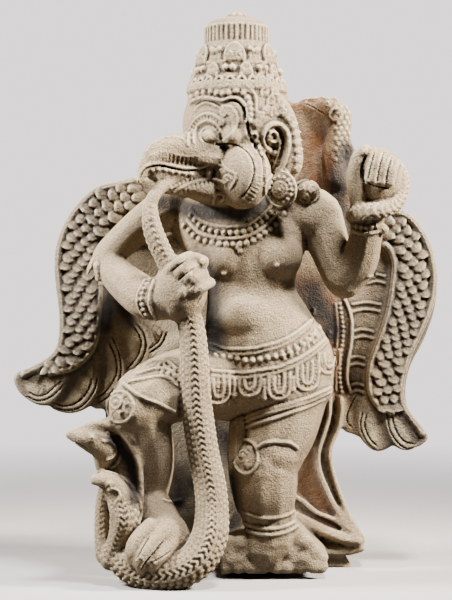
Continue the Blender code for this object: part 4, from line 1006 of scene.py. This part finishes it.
# Incised lines on the grid: route, half width, depth
GROOVES = [
    # beside the cheek and between the locks and the face
    ([(243, 106), (247, 120), (249, 134), (255, 146), (262, 156), (265, 170), (264, 184)], 2.2, 2.6),
    ([(214, 145), (224, 144.5), (234, 145), (242, 148), (249, 154), (253, 162), (254.5, 171), (252, 182),
      (247.5, 191), (241, 198)], 1.3, 1.9),
    ([(268, 133), (266, 140), (269, 147)], 1.7, 2.4),
    ([(281, 133), (283, 142), (281, 154), (278, 162)], 1.9, 2.6),
    # between the fingers
    ([(172, 271.5), (179, 265.5), (187, 260)], 1.2, 1.5),
    ([(178.5, 280.5), (186, 274), (194, 268.5)], 1.2, 1.5),
    ([(187.5, 290), (194, 284)], 1.1, 1.0), ([(197.5, 304), (202.5, 295.5)], 1.3, 1.8),
    ([(374.5, 153), (371, 166), (368, 179)], 1.3, 2.4), ([(384, 153), (380, 167), (377, 183)], 1.3, 2.4),
    ([(392, 158), (388, 171), (386, 186)], 1.3, 2.4),
    ([(361, 178), (362, 167), (366, 156)], 1.4, 2.2), ([(364, 181), (374, 186.5), (388, 189)], 1.4, 2.4),
    # toes
    ([(149, 537), (142.5, 547), (136.5, 559)], 1.3, 2.0),
    ([(163, 541), (154.5, 552), (146, 562), (141, 570)], 1.3, 2.0),
    ([(172, 550), (162, 557), (152, 562)], 1.2, 1.4),
    # mouths of the three nagas
    ([(70, 441.5), (79, 444.5), (87, 449)], 1.2, 1.6), ([(92, 484), (99, 487), (106, 489.5)], 1.1, 1.4),
    ([(305, 104), (314, 108), (325, 115)], 1.2, 1.8),
    # lip, mouth and the band round the cheek
    ([(140, 179), (144, 171), (150, 167.5), (160, 166), (172, 168.5), (185, 171), (197, 170.5)], 1.3, 2.2),
    ([(233, 101), (239, 103), (243, 110), (244, 122)], 1.6, 2.6),
    ([(196, 105), (204, 101.5), (214, 103), (220, 106)], 1.3, 1.6),
]
# Borders of the long feathers, a pair of lines to each
FEATHER_LINES = [
    [(29, 392), (37, 396), (46, 394), (54, 387), (61, 381)],
    [(27, 397), (38, 401), (49, 398), (58, 391), (64, 384)],
    [(53, 403), (64, 406), (75, 403.5), (84, 396), (90, 386), (91, 379)],
    [(55, 408), (66, 410.5), (79, 408), (89, 399), (95, 388), (97, 378)],
    [(96, 398), (104, 393), (112, 383), (116.5, 372), (115, 357), (109, 343)],
    [(98, 403), (108, 397), (117, 385), (121, 371), (119, 354), (112, 338)],
    [(127, 369), (137, 357), (141, 345), (139, 335), (133, 326)],
    [(128, 374), (140, 362), (146, 348), (144, 334), (137, 324)],
    [(149, 349), (158, 342), (163, 332)], [(150, 353), (161, 345), (167, 333)],
    [(356, 396), (349, 410), (347, 421), (352, 427)], [(367, 414), (365, 426), (370, 439), (377, 446)],
    [(363, 412), (360.5, 426), (366, 441), (375, 450)], [(391.8, 414), (396, 430), (404, 441), (415, 444)],
    [(387, 414), (390, 430), (397, 442), (407, 449), (418, 447)],
]


# The most that a normal may lean to the back where a line is cut, and how far in depth a line reaches
FACING = 0.35
GROOVE_REACH = 14


def engrave(item, surface, grooves):
    """Sink incised lines into the side that faces the viewer."""
    points = np.empty(len(item.data.vertices) * 3)
    item.data.vertices.foreach_get("co", points)
    points = points.reshape(-1, 3)
    normals = np.empty(len(points) * 3, np.float32)
    item.data.vertex_normals.foreach_get("vector", normals)
    normals = normals.reshape(-1, 3)
    across, down, out = on_grid(points, np.zeros(3))
    facing = normals[:, 1] < FACING
    for route, half, depth in grooves:
        line = even_line(smooth_line(route, 6), 2.0)
        outs = np.array([BACK - surface.at(*row)[0].y / CELL for row in line])
        low, high = line.min(axis=0) - half, line.max(axis=0) + half
        near = np.flatnonzero(facing & (across > low[0]) & (across < high[0])
                              & (down > low[1]) & (down < high[1]))
        gap = np.hypot(across[near, None] - line[:, 0], down[near, None] - line[:, 1])
        nearest = gap.argmin(axis=1)
        least = gap[np.arange(len(near)), nearest]
        reach = np.clip(1 - (least / half) ** 2, 0, 1) * (np.abs(out[near] - outs[nearest]) < GROOVE_REACH)
        ends = np.minimum(nearest, len(line) - 1 - nearest)
        sink = depth * reach * np.clip((ends + 0.7) / 2.2, 0, 1) * CELL
        points[near] -= normals[near] * sink[:, None]
    item.data.vertices.foreach_set("co", points.ravel())
    item.data.update()


def fine_carve(form):
    """The relief with its small carving as well."""
    surface = Surface(form)
    clay = Clay()
    clay.add_mesh_object(form)
    # the root of the beak over the cheek, the inner side of the near leg, the flesh between the fingers
    limb(clay, [(198, 156, 145, 11), (210, 158, 142, 12), (222, 160, 139, 13), (233, 164, 137, 13)])
    limb(clay, [(243, 425, 104, 14), (241, 455, 103, 14), (242, 480, 101, 13), (246, 505, 98, 11)])
    for across, down in ((178, 271), (186, 278), (190, 290), (184, 292)):
        place, normal = surface.at(across, down)
        dome(clay, place - normal * 2 * CELL, normal, Vector((0.6, 0, 1)), 6, 8, 4)
    wings(clay, surface)
    crown_carving(clay)
    for carving in (face, ear, jewels, belt, naga_carving, fine_belt, fine_hands):
        carving(clay, surface)
    relief = skin(clay, "relief", STONE_GRAIN, 1)
    bake(relief)
    engrave(relief, surface, GROOVES + [(route, 1.2, 1.8) for route in FEATHER_LINES])
    return relief


def simplify(item, most):
    """Fewer triangles, where the form is plain."""
    item.modifiers.new("split", "TRIANGULATE")
    bake(item)
    fewer = item.modifiers.new("fewer", "DECIMATE")
    fewer.ratio = min(1.0, most / len(item.data.polygons))
    bake(item)


def cut_level(item):
    """Cut the foot flat at the ground and close it there."""
    maker = bmesh.new()
    maker.from_mesh(item.data)
    everything = [*maker.verts, *maker.edges, *maker.faces]
    made = bmesh.ops.bisect_plane(maker, geom=everything, plane_co=(0, 0, 0), plane_no=(0, 0, -1),
                                  clear_outer=True)
    rim = [part for part in made["geom_cut"] if isinstance(part, bmesh.types.BMEdge)]
    bmesh.ops.triangle_fill(maker, use_beauty=True, use_dissolve=False, edges=rim)
    bmesh.ops.recalc_face_normals(maker, faces=maker.faces)
    maker.to_mesh(item.data)
    maker.free()


def arrays_of(mesh):
    """(points, triangles, normals) of a mesh."""
    points, faces = triangles_of(mesh)
    normals = np.empty(len(points) * 3, np.float32)
    mesh.vertex_normals.foreach_get("vector", normals)
    return points, faces, normals.reshape(-1, 3)


def neighbours_mean(values, edges, count):
    """The mean of each point's neighbours."""
    total = np.zeros_like(values)
    for a, b in ((0, 1), (1, 0)):
        for column in range(values.shape[1]):
            there = values[edges[:, b], column]
            total[:, column] += np.bincount(edges[:, a], weights=there, minlength=len(values))
    return total / count[:, None]


def hollow(points, faces, normals, passes):
    """How far each point lies below the surface around it, in metres. Ridges are negative."""
    edges = np.vstack([faces[:, [0, 1]], faces[:, [1, 2]], faces[:, [2, 0]]])
    edges = np.unique(np.sort(edges, axis=1), axis=0)
    count = np.maximum(np.bincount(edges.ravel(), minlength=len(points)), 1)
    soft = points.copy()
    found = []
    for step in range(1, max(passes) + 1):
        soft = neighbours_mean(soft, edges, count)
        if step in passes:
            found.append(np.einsum("ij,ij->i", soft - points, normals))
    return found


def on_grid(points, shift):
    """Cells across, down and out of world points."""
    x, y, z = (points - shift).T / CELL
    out = BACK - y
    near = shrink(out)
    return MIDDLE + x / near, LEVEL - (z - EYE) / near, out


def near_line(across, down, route, reach):
    """1 on the route, falling to 0 at reach cells from it."""
    line = smooth_line(route, 3)
    least = np.full(len(across), 1e9)
    for (a, b), (c, d) in zip(line, line[1:]):
        length = max((c - a) ** 2 + (d - b) ** 2, 1e-6)
        t = np.clip(((across - a) * (c - a) + (down - b) * (d - b)) / length, 0, 1)
        least = np.minimum(least, np.hypot(across - a - t * (c - a), down - b - t * (d - b)))
    return np.clip(1 - least / reach, 0, 1)


# Rust-brown stains, and painted shadows in deep recesses where shade falls, on the grid: route, reach, and
# how far out the stone is reached
STAINS = [([(306, 105), (312, 150), (330, 190)], 34, 92),
          ([(300, 262), (322, 292), (330, 330), (333, 385)], 20, 100),
          ([(300, 430), (306, 480), (322, 512)], 22, 80)]
# Painted shadows: dark colour laid under the jaw and beak, beside the naga down the belly, between and beside
# the legs, behind the raised hand and the ear pendant, and in the left wing's panel
PAINTED_SHADOWS = [([(164, 202), (176, 206), (190, 209), (206, 212), (224, 213), (246, 211), (262, 203), (268, 188)],
          14, 140),
         ([(172, 212), (178, 228), (182, 240)], 10, 100),
         ([(206, 266), (207, 300), (208, 340), (209, 374)], 27, 138),
         ([(228, 440), (232, 470), (234, 500), (234, 528)], 16, 70),
         ([(184, 425), (180, 460), (176, 500), (165, 525)], 24, 70),
         ([(302, 262), (308, 285), (316, 305), (330, 330)], 20, 66),
         ([(346, 150), (338, 185), (350, 236)], 15, 70),
         ([(104, 325), (112, 300), (128, 322)], 12, 56), ([(228, 480), (231, 512)], 14, 140),
         ([(112, 440), (124, 452), (131, 470), (134, 500)], 9, 200),
         ([(264, 172), (262, 186), (256, 198)], 8, 142)]


# Depths in metres at which a small and a broad hollow count in full
FINE_HOLLOW = 0.0012
BROAD_HOLLOW = 0.006


def masks(points, faces, normals, shift):
    """Weights for the stone's colour: hollows and ridges for painted shade and painted highlight, grey wings,
    rust-brown stains and painted shadows.
    """
    fine, broad = hollow(points, faces, normals, (3, 24))
    across, down, out = on_grid(points, shift)
    wing = np.clip(np.maximum(118 - across, across - 372) / 14, 0, 1) * np.clip((470 - down) / 20, 0, 1)
    wing = np.maximum(wing * np.clip((66 - out) / 12, 0, 1), 0)
    painted = []
    for rows in (STAINS, PAINTED_SHADOWS):
        share = np.zeros(len(points))
        for route, reach, high in rows:
            inside = np.clip((high - out) / 14, 0, 1)
            share = np.maximum(share, near_line(across, down, route, reach) * inside)
        painted.append(np.clip(share * 1.6, 0, 1))
    return {"hollow": np.clip(fine / FINE_HOLLOW, -1, 1), "broad": np.clip(broad / BROAD_HOLLOW, -1, 1),
            "wing": wing, "stain": painted[0], "painted_shadow": painted[1]}


# How the stone is cut into pieces: name, then bounds on the grid (left, right, top, bottom)
REGIONS = [("crown", 0, 303, 0, 98), ("head", 0, 303, 98, 206), ("raised_hand", 303, 460, 0, 300),
           ("left_wing", 0, 150, 206, 420), ("torso", 150, 303, 206, 335), ("hips", 150, 303, 335, 430),
           ("right_wing", 303, 460, 300, 460), ("naga_heads", 0, 180, 420, 700), ("legs", 0, 460, 0, 700)]


def new_piece(name, points, faces, normals, weights, material):
    used, index = np.unique(faces, return_inverse=True)
    mesh = filled_mesh(name, points[used], index.reshape(-1, 3))
    mesh.shade_smooth()
    mesh.normals_split_custom_set_from_vertices(normals[used])
    for key, values in weights.items():
        layer = mesh.attributes.new(key, "FLOAT", "POINT")
        layer.data.foreach_set("value", values[used].astype(np.float32))
    mesh.materials.append(material)
    piece = placed(name, mesh)
    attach(piece, "root")
    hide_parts(NODE)
    return piece


# The share of the solid's box that the pieces fill
INSIDE = 0.9998


def fit_to_cad(points):
    """(points moved and scaled into the solid's box, the shift that was made)."""
    low, high = points.min(axis=0), points.max(axis=0)
    cad_low, cad_high = np.array(CAD_LOW), np.array(CAD_HIGH)
    scale = (cad_high - cad_low) / (high - low) * INSIDE
    shift = (cad_low + cad_high) / 2 - (low + high) / 2 * scale
    return points * scale + shift, shift


class Graph:
    """A short way to write a material's nodes."""

    def __init__(self, name):
        self.material = bpy.data.materials.new(name)
        self.material.use_nodes = True
        self.tree = self.material.node_tree
        self.shader = self.tree.nodes["Principled BSDF"]

    def node(self, kind, settings=(), **inputs):
        made = self.tree.nodes.new(kind)
        for key, value in dict(settings).items():
            setattr(made, key, value)
        for key, value in inputs.items():
            # _0, _1 and so on name a socket by its place
            self.feed(made.inputs[int(key[1:]) if key[0] == "_" else key], value)
        return made

    def feed(self, socket, value):
        """Link another node's output to a socket, or set the socket's own value."""
        if isinstance(value, bpy.types.NodeSocket):
            self.tree.links.new(value, socket)
        else:
            socket.default_value = value

    def mask(self, name):
        return self.node("ShaderNodeAttribute", {"attribute_name": name}).outputs["Fac"]

    def noise(self, scale, detail=4.0, rough=0.6):
        place = self.node("ShaderNodeNewGeometry").outputs["Position"]
        made = self.node("ShaderNodeTexNoise", Vector=place, Scale=scale, Detail=detail, Roughness=rough)
        return made.outputs["Fac"]

    def band(self, value, low, high, start=0.0, end=1.0):
        """The value stretched from low..high to start..end, and kept inside."""
        return self.node("ShaderNodeMapRange", _0=value, _1=low, _2=high, _3=start, _4=end).outputs[0]

    def sum(self, a, b):
        return self.node("ShaderNodeMath", {"operation": "ADD"}, _0=a, _1=b).outputs[0]

    def product(self, a, b):
        return self.node("ShaderNodeMath", {"operation": "MULTIPLY"}, _0=a, _1=b).outputs[0]

    def mix(self, share, a, b):
        made = self.node("ShaderNodeMix", {"data_type": "RGBA"}, _0=share)
        for socket, value in ((made.inputs[6], a), (made.inputs[7], b)):
            self.feed(socket, value if isinstance(value, bpy.types.NodeSocket) else (*value, 1))
        return made.outputs[2]


def sandstone():
    """Worn sandstone: mottled and grained, paler on ridges from wear and painted highlight, with painted
    shade in hollows and painted shadows in deep recesses.
    """
    graph = Graph("sandstone")
    tone = graph.band(graph.noise(7.0, 5.0), 0.35, 0.65)
    colour = graph.mix(tone, (0.235, 0.172, 0.103), (0.295, 0.222, 0.138))
    # Share and colour of each layer over the ones before it
    layers = (
        # patches, dark grains and light grains
        (graph.product(graph.band(graph.noise(34.0, 6.0, 0.7), 0.5, 0.68), 0.4), (0.16, 0.118, 0.072)),
        (graph.product(graph.band(graph.noise(400.0, 3.0, 0.75), 0.46, 0.62), 0.7), (0.09, 0.066, 0.043)),
        (graph.product(graph.band(graph.noise(330.0, 2.0, 0.6), 0.56, 0.7), 0.5), (0.46, 0.38, 0.25)),
        # the grey of the wings, and rust-brown stains
        (graph.product(graph.mask("wing"), graph.band(graph.noise(18.0), 0.3, 0.6, 0.6, 0.95)),
         (0.088, 0.070, 0.052)),
        (graph.product(graph.mask("stain"), graph.band(graph.noise(26.0, 5.0), 0.35, 0.6, 0.5, 1.0)),
         (0.11, 0.046, 0.017)),
        # paler ridges from wear and painted highlight, painted shade in small hollows and in broad ones
        (graph.band(graph.mask("hollow"), -0.12, -0.7, 0.0, 0.7), (0.52, 0.43, 0.285)),
        (graph.band(graph.mask("hollow"), 0.06, 0.5, 0.0, 0.9), (0.028, 0.021, 0.016)),
        (graph.band(graph.mask("broad"), 0.15, 0.85, 0.0, 0.82), (0.026, 0.021, 0.017)),
        # painted shadows in deep recesses, where shade falls
        (graph.product(graph.mask("painted_shadow"), graph.band(graph.noise(22.0, 5.0), 0.3, 0.55, 0.8, 1.0)),
         (0.022, 0.018, 0.016)),
    )
    for share, paint in layers:
        colour = graph.mix(share, colour, paint)
    graph.tree.links.new(colour, graph.shader.inputs["Base Color"])
    graph.shader.inputs["Roughness"].default_value = 0.92
    graph.shader.inputs["Specular IOR Level"].default_value = 0.25
    place = graph.node("ShaderNodeNewGeometry").outputs["Position"]
    pits = graph.node("ShaderNodeTexVoronoi", Vector=place, Scale=260.0).outputs["Distance"]
    height = graph.sum(graph.noise(430.0, 4.0, 0.75), graph.product(pits, 0.6))
    height = graph.sum(height, graph.product(graph.noise(90.0, 4.0), 1.2))
    bump = graph.node("ShaderNodeBump", Strength=0.9, Distance=0.0030, Height=height)
    graph.tree.links.new(bump.outputs["Normal"], graph.shader.inputs["Normal"])
    return graph.material


# How far out the piece of the back reaches, in cells
BACK_PIECE_OUT = 30


def make_relief():
    """Carve the relief and cut it into pieces in the scene; returns the shift from the grid's frame to the
    solid's.
    """
    form = make_form()
    relief = fine_carve(form)
    bpy.data.objects.remove(form)
    simplify(relief, MOST_TRIANGLES)
    cut_level(relief)
    points, faces, normals = arrays_of(relief.data)
    bpy.data.objects.remove(relief)
    points, shift = fit_to_cad(points)
    weights = masks(points, faces, normals, shift)
    across, down, out = on_grid(points[faces].mean(axis=1), shift)
    behind = out < BACK_PIECE_OUT
    material = sandstone()
    left_over = ~behind
    for name, left, right, top, bottom in REGIONS:
        inside = left_over & (across >= left) & (across < right) & (down >= top) & (down < bottom)
        left_over &= ~inside
        new_piece(name, points, faces[inside], normals, weights, material)
    new_piece("back", points, faces[behind], normals, weights, material)
    return shift


# The camera's sensor in millimetres, and half the photo's height in pixels
SENSOR = 36
HALF_PHOTO = 300


def stage(shift):
    """The photo's camera, a pale floor, and soft light from above and from both sides."""
    camera = placed("camera", bpy.data.cameras.new("camera"))
    camera.location = Vector((0, BACK - PLANE - VIEW, EYE)) * CELL + Vector(shift)
    camera.rotation_euler = (math.pi / 2, 0, 0)
    camera.data.sensor_width = SENSOR
    camera.data.lens = SENSOR / 2 * VIEW / HALF_PHOTO
    bpy.context.scene.camera = camera

    maker = bmesh.new()
    bmesh.ops.create_circle(maker, cap_ends=True, segments=64, radius=FLOOR_REACH)
    mesh = bpy.data.meshes.new("floor")
    maker.to_mesh(mesh)
    maker.free()
    floor = placed("floor", mesh)
    mesh.materials.append(floor_paint())

    for name, place, size, power, colour in LIGHTS:
        light = bpy.data.lights.new(name, "AREA")
        light.size = size
        light.energy = power
        light.color = colour
        light.spread = LIGHT_SPREAD
        lamp = placed(name, light)
        lamp.location = place
        lamp.rotation_mode = "QUATERNION"
        lamp.rotation_quaternion = (Vector((0, 0, HEIGHT / 2)) - Vector(place)).to_track_quat("-Z", "Y")
    bpy.context.scene.world = studio()


FLOOR_REACH = 3.2
# Name, place, size, power and colour of each light
LIGHTS = (("top_light", (0.6, -1.15, 3.0), 0.5, 46, (1.0, 0.99, 0.97)),
          ("left_light", (-2.2, -0.34, 1.85), 0.45, 62, (1.0, 0.98, 0.94)),
          ("right_light", (2.15, -0.5, 1.9), 0.45, 76, (1.0, 0.92, 0.80)))
LIGHT_SPREAD = math.radians(70)


def floor_paint():
    """Pale paint that fades away towards the rim of the floor, so no horizon shows."""
    graph = Graph("pale_floor")
    graph.shader.inputs["Roughness"].default_value = 0.9
    seen_here = graph.node("ShaderNodeLightPath").outputs["Is Camera Ray"]
    colour = graph.mix(seen_here, (0.06, 0.057, 0.055), (0.34, 0.32, 0.312))
    graph.tree.links.new(colour, graph.shader.inputs["Base Color"])
    place = graph.node("ShaderNodeNewGeometry").outputs["Position"]
    reach = graph.node("ShaderNodeVectorMath", {"operation": "LENGTH"}, _0=place).outputs["Value"]
    solid = graph.band(reach, 0.75, FLOOR_REACH - 0.1, 1.0, 0.0)
    graph.tree.links.new(solid, graph.shader.inputs["Alpha"])
    return graph.material


def studio():
    """A pale surround for the camera that gives the stone little light."""
    world = bpy.data.worlds.new("studio")
    world.use_nodes = True
    nodes = world.node_tree.nodes
    surround = nodes["Background"]
    surround.inputs["Color"].default_value = (0.90, 0.85, 0.84, 1)
    seen_part = nodes.new("ShaderNodeMapRange")
    seen_part.inputs["To Min"].default_value = 0.005
    seen_part.inputs["To Max"].default_value = 2.0
    seen_here = nodes.new("ShaderNodeLightPath").outputs["Is Camera Ray"]
    world.node_tree.links.new(seen_here, seen_part.inputs["Value"])
    world.node_tree.links.new(seen_part.outputs["Result"], surround.inputs["Strength"])
    return world


stage(make_relief())
